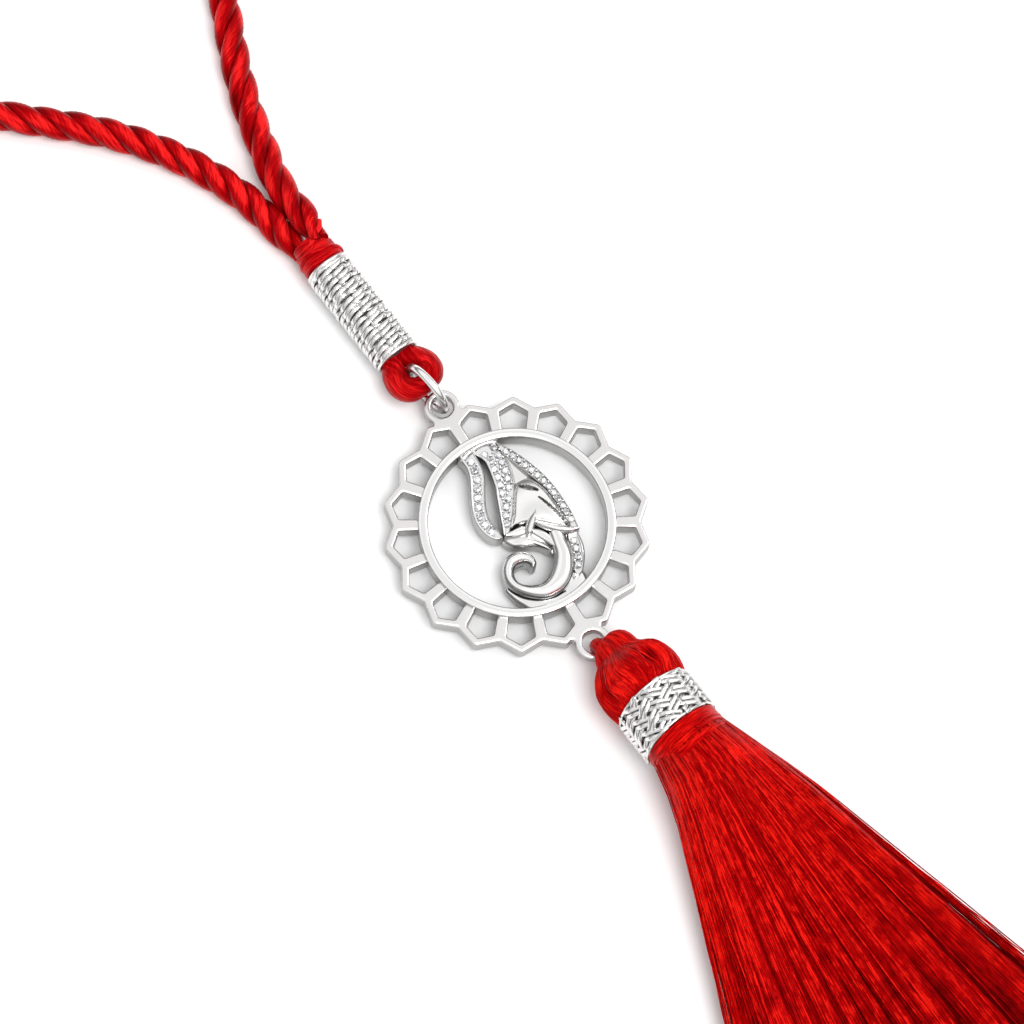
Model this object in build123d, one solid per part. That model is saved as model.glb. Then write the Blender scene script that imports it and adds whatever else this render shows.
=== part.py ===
from build123d import *
import math
import os

# Lumba rakhi: a red silk cord loop, a pierced silver pendant and a red silk tassel.
# Millimetres. It lies on the floor z = 0, the pendant's face is +Z, the cord loop is at +Y
# and the tassel at -Y. The origin is on the floor under the middle of all but the loop.

os.makedirs("parts", exist_ok=True)

# Running clearances
CLEAR = 0.05                # between pieces that touch on the real one
STONE_CLEAR = 0.03          # round a stone in its seat

# Pendant frame
RING_BORE_R = 8.3           # inside of the round ring
RING_BAND = 0.9             # radial width of the ring
RING_T = 2.2                # thickness of the ring
PETAL_COUNT = 18
PETAL_LENGTH = 3.3          # from the ring's outside to a petal's tip
PETAL_T = 1.7               # thickness of the petals
PETAL_RIM = 0.7             # metal beyond an opening's apex
VALLEY_DEPTH = 1.0          # notch between two petals
PEAK_RISE = 0.8             # from an opening's shoulders to its apex
SPOKE_W = 1.0               # metal between two openings
PENDANT_LIFT = 0.8          # the jump ring and the tassel's loop carry it off the floor
PENDANT_X = -3.02           # middle of the ring from the origin
PENDANT_Y = 21.24

# Lugs of the pendant
LUG_HOLE_R = 1.05
LUG_WALL = 0.62
LUG_WAIST = 0.9             # half width of the foot at the hole as a share of the lug's radius
LUG_T = 1.0
LUG_REACH = 1.8             # hole's middle beyond the notch that it stands in

# Relief of the figure, heights above the pendant's back
PLATE_H = 1.0
BAND_H = 1.9
FACE_FLOOR_H = 1.5
FACE_H = 2.9
FACE_DOME_R = 5.5
TRUNK_RIDGE_H = 2.5
GROOVE_DEPTH = 0.5

# Cut stones
STONE_SIDES = 8
TABLE_SHARE = 0.56          # table's width as a share of the stone's
CROWN_SHARE = 0.18          # heights as shares of the stone's width
GIRDLE_SHARE = 0.05
PAVILION_SHARE = 0.42
STONE_PROUD = 0.12          # table above the metal
STONE_GAP = 0.12            # between two stones
STONE_RIM = 0.16            # metal between a field of stones and the band's edge
TWO_ROW_SHARE = 0.3         # least offset of two rows as a share of a stone's width
STONE_STEPS = 400           # tries along a band
EAR_BAND_STONE_D = 0.78
LEAF_STONE_D = 0.7
CREST_STONE_D = 0.62
TRUNK_STONE_D = 0.66

# Jump ring
WIRE_D = 0.8
JUMP_RING_R = 2.5           # to the wire's middle
JUMP_RING_REACH = 2.1       # ring's middle from the hole's middle
RING_YAW = 10.0             # degrees that the ring and the eye turn to the left

# Cord eye, a tight fold of cord
EYE_CORD_D = 2.3
EYE_SLOT_W = 0.9
EYE_SLOT_RUN = 0.5          # straight part of the slot
EYE_REACH = 4.4             # slot's nearer end from the hole's middle
EYE_TIP_Z = 3.4             # height of the fold's nose
EYE_TILT = 12.0             # degrees that the eye slopes down to the collar
EYE_TO_COLLAR = 1.95
NECK_R = 1.7
NECK_RUN = 0.9              # length of the eye's neck inside the collar

# Collar and binding
COLLAR_YAW = 5.5            # degrees that the collar turns to the left
COLLAR_D = 4.5
COLLAR_WALL = 0.5
COLLAR_LENGTH = 11.8
BINDING_RUN = 2.6           # binding that shows above the collar
BINDING_FOOT_R = 2.15
BINDING_TOP_R = 1.75

# Hanging cord
CORD_D = 2.6

# Tassel
TASSEL_YAW = 13.2           # degrees that the head turns to the right
TASSEL_START = (0.1, 1.85)  # head's top: sideways, and below the lower hole's middle
HEAD_R = 4.15
HEAD_LENGTH = 6.0
HEAD_TOP_R = 1.3
TASSEL_NECK_R = 3.35
BAND_LENGTH = 4.0
BAND_WALL = 0.5
WHIPPING_LENGTH = 2.7
WHIPPING_WALL = 0.55
SKIRT_LENGTH = 49.0
SKIRT_END_HALF_W = 18.4
SKIRT_END_HALF_T = 2.1
SKIRT_LOCKS = 26            # locks round the skirt
LOCK_BULGE = 0.34           # a lock's crown beyond its valleys at the skirt's end
LOOP_CORD_D = 1.2
LOOP_HALF_H = 1.55
LOOP_RUN = 1.3              # straight sides of the tassel's loop
LOOP_Z = 2.2

# Worked out from the sizes above
RING_R = RING_BORE_R + RING_BAND
TIP_R = RING_R + PETAL_LENGTH
VALLEY_R = TIP_R - VALLEY_DEPTH
APEX_R = TIP_R - PETAL_RIM
SHOULDER_R = APEX_R - PEAK_RISE
LUG_R = LUG_HOLE_R + LUG_WALL
LUG_Y = VALLEY_R + LUG_REACH
LUG_TOP_Z = PENDANT_LIFT + PETAL_T
PETAL_STEP = 360.0 / PETAL_COUNT
FINGER = 1.0                # overlap that welds one part of a casting to the next

# Figure: centre lines and half widths in hundredths of the ring's bore radius,
# x to the right and y to the upper lug
EAR_BAND = [
    # x, y, half width
    (-5, 104, 9.2),
    (-7, 94, 8.8),
    (-7, 83, 8.5),
    (-10, 70, 8.8),
    (-17, 57, 8.6),
    (-24, 45, 8.4),
    (-29, 34, 8.4),
    (-32, 23, 8.2),
    (-32, 12, 7.6),
    (-29, 2, 6.6),
    (-24, -7, 3.5),
]
EAR_LEAF = [
    # x, y, half width
    (13, 104, 15.0),
    (16, 94, 14.4),
    (18, 82, 11.8),
    (17, 69, 11.6),
    (14, 55, 11.4),
    (10, 43, 10.8),
    (4, 32, 10.0),
    (-2, 21, 8.6),
    (-8, 11, 7.0),
    (-14, 1, 5.0),
    (-20, -8, 3.0),
]
CREST = [
    # x, y, half width
    (19, 101, 3.5),
    (28, 87, 4.5),
    (36, 72, 5.5),
    (43, 54, 6.0),
    (49, 36, 5.8),
    (53, 17, 5.4),
    (54, -3, 5.4),
    (54, -21, 5.0),
    (52, -40, 4.0),
]
TRUNK = [
    # x, y, half width
    (39, -36, 16.0),
    (37, -50, 17.0),
    (31, -63, 16.5),
    (19, -76, 15.0),
    (2, -83, 12.0),
    (-16, -82, 9.0),
    (-31, -74, 6.5),
    (-40, -63, 5.5),
    (-42, -52, 6.2),
    (-38, -42, 6.8),
    (-30, -36, 7.6),
    (-20, -36, 7.6),
    (-12, -42, 5.5),
    (-10, -51, 3.0),
]
TRUNK_RIDGE = [
    # x, y, half width
    (32, -33, 4.0),
    (30, -43, 4.8),
    (28, -55, 6.0),
    (20, -69, 7.5),
    (10, -78, 8.0),
    (-3, -83, 7.5),
    (-17, -82, 6.4),
    (-31, -74, 4.6),
    (-39, -63, 3.8),
    (-41, -52, 4.4),
    (-38, -43, 4.8),
    (-30, -37, 5.4),
    (-21, -37, 5.4),
    (-14, -42, 3.6),
    (-11, -49, 1.8),
]
JAW_BAND = [
    # x, y, half width
    (15, -11, 3.5),
    (26, -23, 4.5),
    (36, -33, 4.8),
    (45, -40, 4.2),
    (54, -46, 3.0),
]
TUSK = [
    # x, y, half width
    (21, 1, 0.6),
    (12, -8, 2.6),
    (5, -16, 3.6),
]
EYE_GROOVE = [
    # x, y, half width
    (26, 35, 1.2),
    (32, 28, 2.4),
    (38, 20, 0.8),
]
CHEEK_GROOVE = [
    # x, y, half width
    (36, 10, 0.8),
    (42, -7, 1.6),
    (46, -22, 1.6),
    (47, -33, 0.8),
]
TRUNK_FIELD = [
    # x, y, half width
    (45, -44, 5.2),
    (43, -51, 6.4),
    (40.5, -60, 6.2),
    (37, -69, 5.4),
    (32, -77, 4.8),
    (26, -84, 4.6),
]
FACE = [
    # x, y
    (31, 80),
    (33, 66),
    (38, 52),
    (43, 35),
    (47, 17),
    (48, -2),
    (49, -20),
    (48, -38),
    (40, -31),
    (30, -21),
    (23, -14),
    (17, -10),
    (11, -8),
    (5, -5),
    (-4, -3),
    (-11, -3),
    (-8, 2),
    (-1, 9),
    (5, 18),
    (12, 29),
    (18, 38),
    (23, 49),
    (27, 60),
    (29, 72),
]
CHIN_PLATE = [
    # x, y
    (-24, -5),
    (-19, -19),
    (-7, -27),
    (8, -36),
    (18, -50),
    (34, -47),
    (34, -30),
    (12, -8),
    (-11, 0),
]
BACK_PLATE = [
    # x, y
    (-50, -56),
    (-49, -69),
    (-44, -82),
    (-37, -95),
    (-20, -102),
    (4, -103),
    (27, -99),
    (36, -94),
    (35, -75),
    (19, -72),
    (1, -80),
    (-18, -79),
    (-32, -71),
    (-41, -57),
]

# Cord loop: chosen points from the binding round the loop and back, clear of each other,
# x and y from the middle of the binding's top and z from the floor
CORD_ROUTE = [
    # x, y, z
    (-0.98, 0.07, 1.34),
    (-1.76, 4.29, 1.32),
    (-3.06, 8.49, 1.32),
    (-5.76, 13.69, 1.32),
    (-10.26, 19.29, 1.32),
    (-16.76, 24.69, 1.32),
    (-24.26, 31.29, 1.32),
    (-30.06, 39.59, 1.32),
    (-31.76, 50.49, 1.32),
    (-28.06, 61.29, 1.32),
    (-18.96, 68.09, 1.32),
    (-7.76, 69.19, 1.32),
    (2.64, 64.29, 1.32),
    (9.14, 55.49, 1.32),
    (11.34, 44.79, 1.32),
    (10.04, 34.49, 1.32),
    (6.14, 25.29, 1.32),
    (3.24, 17.89, 1.32),
    (1.54, 11.29, 1.34),
    (1.09, 5.29, 2.30),
    (0.89, 0.35, 3.16),
]
CORD_BEND_SHARE = 0.45      # share of the shorter run that a bend takes up


def heading(yaw):
    """Unit vector in the floor plane, yaw degrees to the left of +Y."""
    return Vector(-math.sin(math.radians(yaw)), math.cos(math.radians(yaw)), 0)


def frame_along(origin, direction):
    """Plane whose own z runs along direction and whose own y points up."""
    direction = Vector(*direction).normalized()
    sideways = direction.cross(Vector(0, 0, -1)).normalized()
    return Plane(origin=origin, x_dir=sideways, z_dir=direction)


def turned(rows, plane):
    """Solid turned about the plane's own z from rows of height and radius."""
    outline = [(0, rows[0][0])] + [(radius, height) for height, radius in rows] + [(0, rows[-1][0])]
    profile = Plane.XZ * make_face(Polyline(*outline, close=True))
    return plane * revolve(profile, axis=Axis.Z)


def pendant_point(x, y, z):
    """Point from the middle of the pendant's ring and a height over the floor."""
    return Vector(PENDANT_X + x, PENDANT_Y + y, z)


def figure_point(x, y, z):
    """Point of the figure from hundredths of the bore radius and a height over the back."""
    unit = RING_BORE_R / 100.0
    return pendant_point(x * unit, y * unit, PENDANT_LIFT + z)


def ribbon(rows, z):
    """Face of a band from rows of centre line and half width, at one height."""
    centres = [figure_point(x, y, z) for x, y, _ in rows]
    halves = [half * RING_BORE_R / 100.0 for _, _, half in rows]
    left = []
    right = []
    for i, (centre, half) in enumerate(zip(centres, halves)):
        before = centres[max(i - 1, 0)]
        after = centres[min(i + 1, len(centres) - 1)]
        along = (after - before).normalized()
        side = Vector(-along.Y, along.X, 0) * half
        left.append(centre + side)
        right.append(centre - side)
    edges = [
        Spline(*left),
        Line(left[-1], right[-1]),
        Spline(*reversed(right)),
        Line(right[0], left[0]),
    ]
    return make_face(edges)


def raised(rows, bottom, top):
    """Band of the relief between two heights over the pendant's back."""
    return extrude(ribbon(rows, bottom), amount=top - bottom, dir=(0, 0, 1))


def slab(points, bottom, top):
    """Flat piece of the casting inside a closed outline."""
    corners = [figure_point(x, y, bottom) for x, y in points]
    return extrude(make_face(Polyline(*corners, close=True)), amount=top - bottom, dir=(0, 0, 1))


def polar(radius, angle):
    """Point in the pendant's plane at an angle in degrees from +X."""
    return (radius * math.cos(math.radians(angle)), radius * math.sin(math.radians(angle)))


def petal_opening(angle):
    """Pentagon between two spokes, its foot just inside the ring."""
    half_spoke = SPOKE_W / 2
    half_foot = RING_R * math.sin(math.radians(PETAL_STEP / 2)) - half_spoke
    half_shoulder = SHOULDER_R * math.sin(math.radians(PETAL_STEP / 2)) - half_spoke
    foot_r = RING_R * math.cos(math.radians(PETAL_STEP / 2)) - half_spoke
    corners = [
        (foot_r, -half_foot),
        (SHOULDER_R, -half_shoulder),
        (APEX_R, 0),
        (SHOULDER_R, half_shoulder),
        (foot_r, half_foot),
    ]
    return Rot(0, 0, angle) * make_face(Polyline(*corners, close=True))


def petal_openings():
    """The pierced openings of all petals."""
    return [petal_opening(i * PETAL_STEP) for i in range(PETAL_COUNT)]


def petal_frame():
    """Scalloped plate with its pierced openings, round the ring."""
    outline = []
    for i in range(PETAL_COUNT):
        outline.append(polar(TIP_R, i * PETAL_STEP))
        outline.append(polar(VALLEY_R, (i + 0.5) * PETAL_STEP))
    plate = make_face(Polyline(*outline, close=True))
    plate = plate - petal_openings() - Circle(RING_BORE_R + RING_BAND / 2)
    return extrude(plate, amount=PETAL_T)


def lug(side):
    """Eye plate on a foot between two petals, flush with the petals' face."""
    foot_half_w, foot_y = polar(TIP_R - PETAL_RIM / 2, 90 - PETAL_STEP / 2)
    foot = [
        (-foot_half_w, foot_y),
        (0, VALLEY_R - PETAL_RIM),
        (foot_half_w, foot_y),
        (LUG_R * LUG_WAIST, LUG_Y),
        (-LUG_R * LUG_WAIST, LUG_Y),
    ]
    plate = Pos(0, LUG_Y) * Circle(LUG_R) + make_face(Polyline(*foot, close=True))
    plate = plate - petal_openings() - Pos(0, LUG_Y) * Circle(LUG_HOLE_R)
    turn = 0 if side > 0 else 180
    return Rot(0, 0, turn) * Pos(0, 0, PETAL_T - LUG_T) * extrude(plate, amount=LUG_T)


def figure():
    """Elephant head in relief, with the stone seats not yet cut."""
    dome_centre = figure_point(24, 20, FACE_H - FACE_DOME_R)
    face = slab(FACE, 0, FACE_H) & Pos(*dome_centre) * Sphere(FACE_DOME_R)
    body = raised(EAR_BAND, 0, BAND_H)
    body += raised(EAR_LEAF, 0, BAND_H)
    body += raised(CREST, 0, BAND_H)
    body += slab(CHIN_PLATE, 0, PLATE_H)
    body += slab(BACK_PLATE, 0, PLATE_H)
    body += raised(TRUNK, 0, BAND_H)
    body += raised(TRUNK_RIDGE, PLATE_H, TRUNK_RIDGE_H)
    body += slab(FACE, 0, FACE_FLOOR_H)
    body += face
    body += raised(JAW_BAND, 0, TRUNK_RIDGE_H)
    body += raised(TUSK, 0, TRUNK_RIDGE_H)
    for groove in (EYE_GROOVE, CHEEK_GROOVE):
        body -= raised(groove, FACE_H - 2 * GROOVE_DEPTH, FACE_H + GROOVE_DEPTH)
    return body


def stone_places(rows, width, taken):
    """Places that fill a band with stones in one or two rows, clear of all taken places."""
    line = Spline(*[figure_point(x, y, 0) for x, y, _ in rows])
    halves = [half * RING_BORE_R / 100.0 for _, _, half in rows]
    start = (STONE_RIM + width / 2) / line.length
    places = []
    for step in range(STONE_STEPS):
        share = start + (1 - 2 * start) * step / STONE_STEPS
        row = int(share * (len(rows) - 1))
        half = halves[row] + (halves[row + 1] - halves[row]) * (share * (len(rows) - 1) - row)
        offset = half - STONE_RIM - width / 2
        sides = (1, -1) if offset > width * TWO_ROW_SHARE else (0,)
        along = line % share
        for side in sides:
            spot = line @ share + Vector(-along.Y, along.X, 0) * (side * offset)
            if all((spot - other).length > (width + wide) / 2 + STONE_GAP for other, wide in taken):
                taken.append((spot, width))
                places.append(spot)
    return places


def stone(place, width, metal_top):
    """Round brilliant with a table, a crown, a girdle and a pavilion of flat facets."""
    girdle = width / 2
    table_z = PENDANT_LIFT + metal_top + STONE_PROUD
    crown = width * CROWN_SHARE
    belt = width * GIRDLE_SHARE
    pavilion = width * PAVILION_SHARE
    sections = [
        (table_z, girdle * TABLE_SHARE),
        (table_z - crown, girdle),
        (table_z - crown - belt, girdle),
        (table_z - crown - belt - pavilion, girdle * 0.12),
    ]
    rings = [
        Pos(place.X, place.Y, z) * RegularPolygon(radius, STONE_SIDES) for z, radius in sections
    ]
    return loft(rings, ruled=True)


def seat(place, width, metal_top):
    """Round pocket under one stone."""
    depth = width * (CROWN_SHARE + GIRDLE_SHARE + PAVILION_SHARE)
    height = depth + STONE_CLEAR
    pocket = Cylinder(width / 2 + STONE_CLEAR, height, align=(Align.CENTER, Align.CENTER, Align.MAX))
    return Pos(place.X, place.Y, PENDANT_LIFT + metal_top + STONE_PROUD) * pocket


def pendant(stone_fields):
    """Ring, petals, lugs and figure cast in one, with a seat under each stone."""
    ring = Cylinder(RING_R, RING_T, align=(Align.CENTER, Align.CENTER, Align.MIN))
    bore = Cylinder(RING_BORE_R, RING_T, align=(Align.CENTER, Align.CENTER, Align.MIN))
    frame = petal_frame() + (ring - bore) + lug(1) + lug(-1)
    openings_kept = Cylinder(RING_R - CLEAR, FACE_H + RING_T, align=(Align.CENTER, Align.CENTER, Align.MIN))
    place = Pos(*pendant_point(0, 0, PENDANT_LIFT))
    body = place * frame + (figure() & place * openings_kept)
    for places, width, top in stone_fields:
        body -= [seat(spot, width, top) for spot in places]
    return body


def jump_ring():
    """Wire ring standing on edge through the eye and the upper lug."""
    along = heading(RING_YAW)
    middle = pendant_point(0, LUG_Y, JUMP_RING_R + WIRE_D / 2 + CLEAR) + along * JUMP_RING_REACH
    plane = Plane(origin=middle, x_dir=along, z_dir=along.cross(Vector(0, 0, 1)))
    return plane * Torus(JUMP_RING_R, WIRE_D / 2)


def eye_frame():
    """Plane of the eye's slot, its own x towards the collar."""
    along = heading(RING_YAW)
    tilt = math.radians(EYE_TILT)
    fold_r = (EYE_CORD_D + EYE_SLOT_W) / 2
    nose = pendant_point(0, LUG_Y, EYE_TIP_Z) + along * (EYE_REACH - fold_r * math.cos(tilt))
    down = Vector(along.X * math.cos(tilt), along.Y * math.cos(tilt), -math.sin(tilt))
    across = Vector(-along.Y, along.X, 0)
    return Plane(origin=nose + down * fold_r, x_dir=down, z_dir=down.cross(across) * -1)


def collar_frame():
    """Plane at the collar's mouth, its own z along the collar."""
    slot = pendant_point(0, LUG_Y, COLLAR_D / 2) + heading(RING_YAW) * EYE_REACH
    mouth = slot + heading(COLLAR_YAW) * EYE_TO_COLLAR
    return frame_along(mouth, heading(COLLAR_YAW))


def cord_route(mouth):
    """Points of the cord loop from the top of the binding and back to it."""
    top = mouth.origin + mouth.z_dir * (COLLAR_LENGTH + CLEAR + BINDING_RUN)
    return [Vector(top.X + x, top.Y + y, z) for x, y, z in CORD_ROUTE]


def cord_eye(mouth):
    """Fold of cord round the jump ring, cut at the collar, with a neck into its bore."""
    fold_r = (EYE_CORD_D + EYE_SLOT_W) / 2
    plane = eye_frame()
    slot = Pos(EYE_SLOT_RUN / 2, 0) * SlotCenterToCenter(EYE_SLOT_RUN, 2 * fold_r)
    path = plane * slot.face().outer_wire()
    section = Plane(origin=path @ 0, z_dir=path % 0) * Circle(EYE_CORD_D / 2)
    fold = sweep(section, path=path)
    beyond = Cylinder(COLLAR_D, COLLAR_LENGTH, align=(Align.CENTER, Align.CENTER, Align.MIN))
    fold -= mouth * Pos(0, 0, -CLEAR) * beyond
    neck = Cylinder(NECK_R, NECK_RUN + EYE_CORD_D / 2, align=(Align.CENTER, Align.CENTER, Align.MIN))
    return fold + mouth * Pos(0, 0, -EYE_CORD_D / 2) * neck


def silver_collar(mouth):
    """Tube of wound metallic thread."""
    outer = Cylinder(COLLAR_D / 2, COLLAR_LENGTH, align=(Align.CENTER, Align.CENTER, Align.MIN))
    bore = Cylinder(
        COLLAR_D / 2 - COLLAR_WALL, COLLAR_LENGTH, align=(Align.CENTER, Align.CENTER, Align.MIN)
    )
    return mouth * (outer - bore)


def cord_binding(mouth):
    """Wound core inside the collar and the binding that shows above it."""
    core_r = COLLAR_D / 2 - COLLAR_WALL - CLEAR
    foot = COLLAR_LENGTH + CLEAR
    rows = [
        (NECK_RUN, core_r),
        (foot, core_r),
        (foot, BINDING_FOOT_R),
        (foot + BINDING_RUN * 0.45, BINDING_FOOT_R),
        (foot + BINDING_RUN, BINDING_TOP_R),
    ]
    return turned(rows, mouth)


def tube(spots, width):
    """Round cord along straight runs joined by tangent arcs, and its arcs' radii."""
    radii = []
    for before, corner, after in zip(spots, spots[1:], spots[2:]):
        turn = math.radians((corner - before).get_angle(after - corner))
        shorter = min((corner - before).length, (after - corner).length)
        radii.append(CORD_BEND_SHARE * shorter / math.tan(turn / 2))
    path = FilletPolyline(*spots, radius=radii)
    section = Plane(origin=path @ 0, z_dir=path % 0) * Circle(width / 2)
    return sweep(section, path=path), path.length, radii


def tassel_frame():
    """Plane at the head's top, its own z down the tassel."""
    sideways, below = TASSEL_START
    top = pendant_point(sideways, -LUG_Y - below, HEAD_R)
    return frame_along(top, heading(TASSEL_YAW) * -1)


def loop_path():
    """Upright closed path through the lower hole and into the head."""
    sideways, below = TASSEL_START
    hole = pendant_point(0, -LUG_Y, LOOP_Z)
    along = Vector(sideways, -below, 0).normalized()
    middle = hole + along * (LOOP_HALF_H + LOOP_RUN / 2)
    plane = Plane(origin=middle, x_dir=along, z_dir=along.cross(Vector(0, 0, 1)))
    return plane * SlotCenterToCenter(LOOP_RUN, 2 * LOOP_HALF_H).face().outer_wire()


def loop_cord(width):
    """Round cord along the closed path of the tassel's loop."""
    path = loop_path()
    section = Plane(origin=path @ 0, z_dir=path % 0) * Circle(width / 2)
    return sweep(section, path=path)


def skirt_section(centre, yaw, half_w, half_t, bulge):
    """Closed row of small outward arcs, one for each lock, round a flat oval."""
    plane = frame_along(centre, heading(yaw) * -1)
    arcs = []
    for i in range(SKIRT_LOCKS):
        corners = []
        for share, swell in ((0, 0), (0.5, bulge), (1, 0)):
            angle = math.radians((i + share) * 360.0 / SKIRT_LOCKS)
            corners.append(((half_w + swell) * math.cos(angle), (half_t + swell) * math.sin(angle)))
        arcs.append(ThreePointArc(*corners))
    return plane * make_face(arcs)


def tassel_skirt(plane):
    """Fan of locks from the whipping to the trimmed end, lofted straight through sections."""
    wound = HEAD_LENGTH + BAND_LENGTH + WHIPPING_LENGTH
    root = plane.from_local_coords(Vector(0, 0, wound + 2 * CLEAR))
    root_r = TASSEL_NECK_R + WHIPPING_WALL - CLEAR
    rows = [
        # share of the length, yaw share, share of the end's width, share of the way to the end's thickness
        (0.0, 1.0, None, 0.0),
        (0.05, 0.45, 0.275, 0.2),
        (0.16, 0.0, 0.41, 0.5),
        (0.36, 0.0, 0.605, 0.72),
        (0.56, 0.0, 0.79, 0.85),
        (0.76, 0.0, 0.94, 0.93),
        (1.0, 0.0, 1.0, 1.0),
    ]
    sections = []
    for share, yaw_share, width_share, thin in rows:
        half_w = root_r if width_share is None else SKIRT_END_HALF_W * width_share
        half_t = root_r + (SKIRT_END_HALF_T - root_r) * thin
        height = root.Z + (SKIRT_END_HALF_T + 2 * LOCK_BULGE - root.Z) * thin
        centre = Vector(root.X, root.Y - SKIRT_LENGTH * share, height)
        sections.append(
            skirt_section(centre, TASSEL_YAW * yaw_share, half_w, half_t, LOCK_BULGE * max(share, 0.2))
        )
    return loft(sections, ruled=True)


def tassel_silk(plane):
    """Head, neck and skirt of the silk, one hank, with a channel for its loop."""
    shoulder_r = TASSEL_NECK_R + BAND_WALL
    wound = BAND_LENGTH + WHIPPING_LENGTH
    rows = [
        # height, radius
        (0.0, HEAD_TOP_R),
        (HEAD_LENGTH * 0.12, HEAD_R * 0.62),
        (HEAD_LENGTH * 0.28, HEAD_R * 0.87),
        (HEAD_LENGTH * 0.5, HEAD_R),
        (HEAD_LENGTH * 0.78, HEAD_R * 0.99),
        (HEAD_LENGTH * 0.94, HEAD_R * 0.95),
        (HEAD_LENGTH - CLEAR, shoulder_r),
        (HEAD_LENGTH - CLEAR, TASSEL_NECK_R),
        (HEAD_LENGTH + wound + FINGER, TASSEL_NECK_R),
    ]
    hank = turned(rows, plane)
    hank -= loop_cord(LOOP_CORD_D + 2 * CLEAR)
    return hank + tassel_skirt(plane)


def sleeve(plane, start, length, wall):
    """Tube of wound thread on the tassel's neck."""
    outer = Cylinder(TASSEL_NECK_R + wall, length, align=(Align.CENTER, Align.CENTER, Align.MIN))
    bore = Cylinder(TASSEL_NECK_R + CLEAR, length, align=(Align.CENTER, Align.CENTER, Align.MIN))
    return plane * Pos(0, 0, start) * (outer - bore)


def write(name, shape):
    """Write one node."""
    export_step(shape, os.path.join("parts", name + ".step"))


# Stone fields: places, stone width and height of the metal round them. The first row of
# a band that grows out of the ring lies under the ring, so its stones start at the second.
taken = []
fields = {
    name: (stone_places(rows, width, taken), width, BAND_H) for name, rows, width in (
        ("ear_band_stones", EAR_BAND[1:], EAR_BAND_STONE_D),
        ("ear_leaf_stones", EAR_LEAF[1:], LEAF_STONE_D),
        ("crest_stones", CREST[1:], CREST_STONE_D),
        ("trunk_stones", TRUNK_FIELD, TRUNK_STONE_D),
    )
}

write("pendant", pendant(fields.values()))
for name, (places, width, top) in fields.items():
    write(name, Compound(children=[stone(spot, width, top) for spot in places]))

write("jump_ring", jump_ring())
mouth_plane = collar_frame()
write("cord_eye", cord_eye(mouth_plane))
write("silver_collar", silver_collar(mouth_plane))
write("cord_binding", cord_binding(mouth_plane))

cord, cord_length, cord_radii = tube(cord_route(mouth_plane), CORD_D)
write("hanging_cord", cord)
print("cord length %.1f mm, volume over section times length %.4f"
      % (cord_length, cord.volume / (cord_length * math.pi * CORD_D ** 2 / 4)))
print("cord radii:", " ".join("%.1f" % radius for radius in cord_radii))

tassel_plane = tassel_frame()
write("tassel_loop", loop_cord(LOOP_CORD_D))
write("tassel_silk", tassel_silk(tassel_plane))
write("tassel_band", sleeve(tassel_plane, HEAD_LENGTH, BAND_LENGTH, BAND_WALL))
write("tassel_whipping", sleeve(tassel_plane, HEAD_LENGTH + BAND_LENGTH + CLEAR, WHIPPING_LENGTH, WHIPPING_WALL))
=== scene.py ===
import math

import bpy
import numpy as np
from bpy.props import FloatProperty, IntProperty, PointerProperty
from mathutils import Matrix
from mathutils.geometry import delaunay_2d_cdt


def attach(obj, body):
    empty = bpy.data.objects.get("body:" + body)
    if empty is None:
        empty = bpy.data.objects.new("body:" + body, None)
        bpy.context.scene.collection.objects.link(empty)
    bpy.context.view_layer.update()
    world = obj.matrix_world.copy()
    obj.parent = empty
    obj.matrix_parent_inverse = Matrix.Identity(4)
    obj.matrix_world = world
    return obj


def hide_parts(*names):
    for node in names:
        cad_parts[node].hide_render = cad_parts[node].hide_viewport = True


bl_info = {
    "name": "Lumba rakhi",
    "version": (1, 0, 0),
    "blender": (4, 5, 0),
    "location": "3D View > Sidebar > Rakhi",
    "description": "Silk cord, pierced silver pendant with set stones, and silk tassel",
    "category": "Object",
}

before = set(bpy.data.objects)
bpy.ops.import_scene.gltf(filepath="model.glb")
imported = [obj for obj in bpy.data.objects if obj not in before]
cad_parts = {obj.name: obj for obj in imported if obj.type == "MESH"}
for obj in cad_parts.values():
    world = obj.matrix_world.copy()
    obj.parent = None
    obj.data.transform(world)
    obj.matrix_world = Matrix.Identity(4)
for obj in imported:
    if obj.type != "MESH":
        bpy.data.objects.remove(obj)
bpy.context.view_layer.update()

# Sizes in millimetres, as in the solids
PENDANT = np.array([-3.02, 21.24, 0.8])   # middle of the ring on the casting's back
BORE_R = 8.3
RING_R = 9.2
RING_T = 2.2
PETALS = 18
PETAL_T = 1.7
TIP_R = 12.5
VALLEY_R = 11.5
APEX_R = 11.72
SHOULDER_R = 10.92
LUG_Y = 13.3
LUG_R = 1.67
LUG_HOLE_R = 1.05
UNIT = BORE_R / 100.0                      # the figure's tables are in hundredths of the bore
RING_YAW = 10.0
COLLAR_YAW = 5.5
COLLAR_LENGTH = 11.8
COLLAR_MOUTH = np.array([-3.971, 40.817, 2.25])
COLLAR_SEEN = 11.15                        # the binding rides over the collar's upper end
BINDING_RUN = 2.6
HEAD_LENGTH = 6.0
BAND_R = 3.83
BAND_LENGTH = 4.0
WHIPPING_LENGTH = 2.7
SPOKE_HALF = 0.56                          # half the width of a spoke between two petals
SEAT = 1.9                                 # rims beside the stones, above the casting's back
BEAD_SEAT = 1.84                           # middles of the beads between the stones
HEAD_GIRTH_R = 4.1                         # radius at which the head's fibres keep their width
LOCKS = 5.3                                # locks of silk in half the skirt's width
FLOOR_HALF = 3.0                           # metres

# Width of the stones of each field
STONES = (("ear_band_stones", 0.78), ("ear_leaf_stones", 0.7), ("crest_stones", 0.62),
          ("trunk_stones", 0.66))

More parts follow.
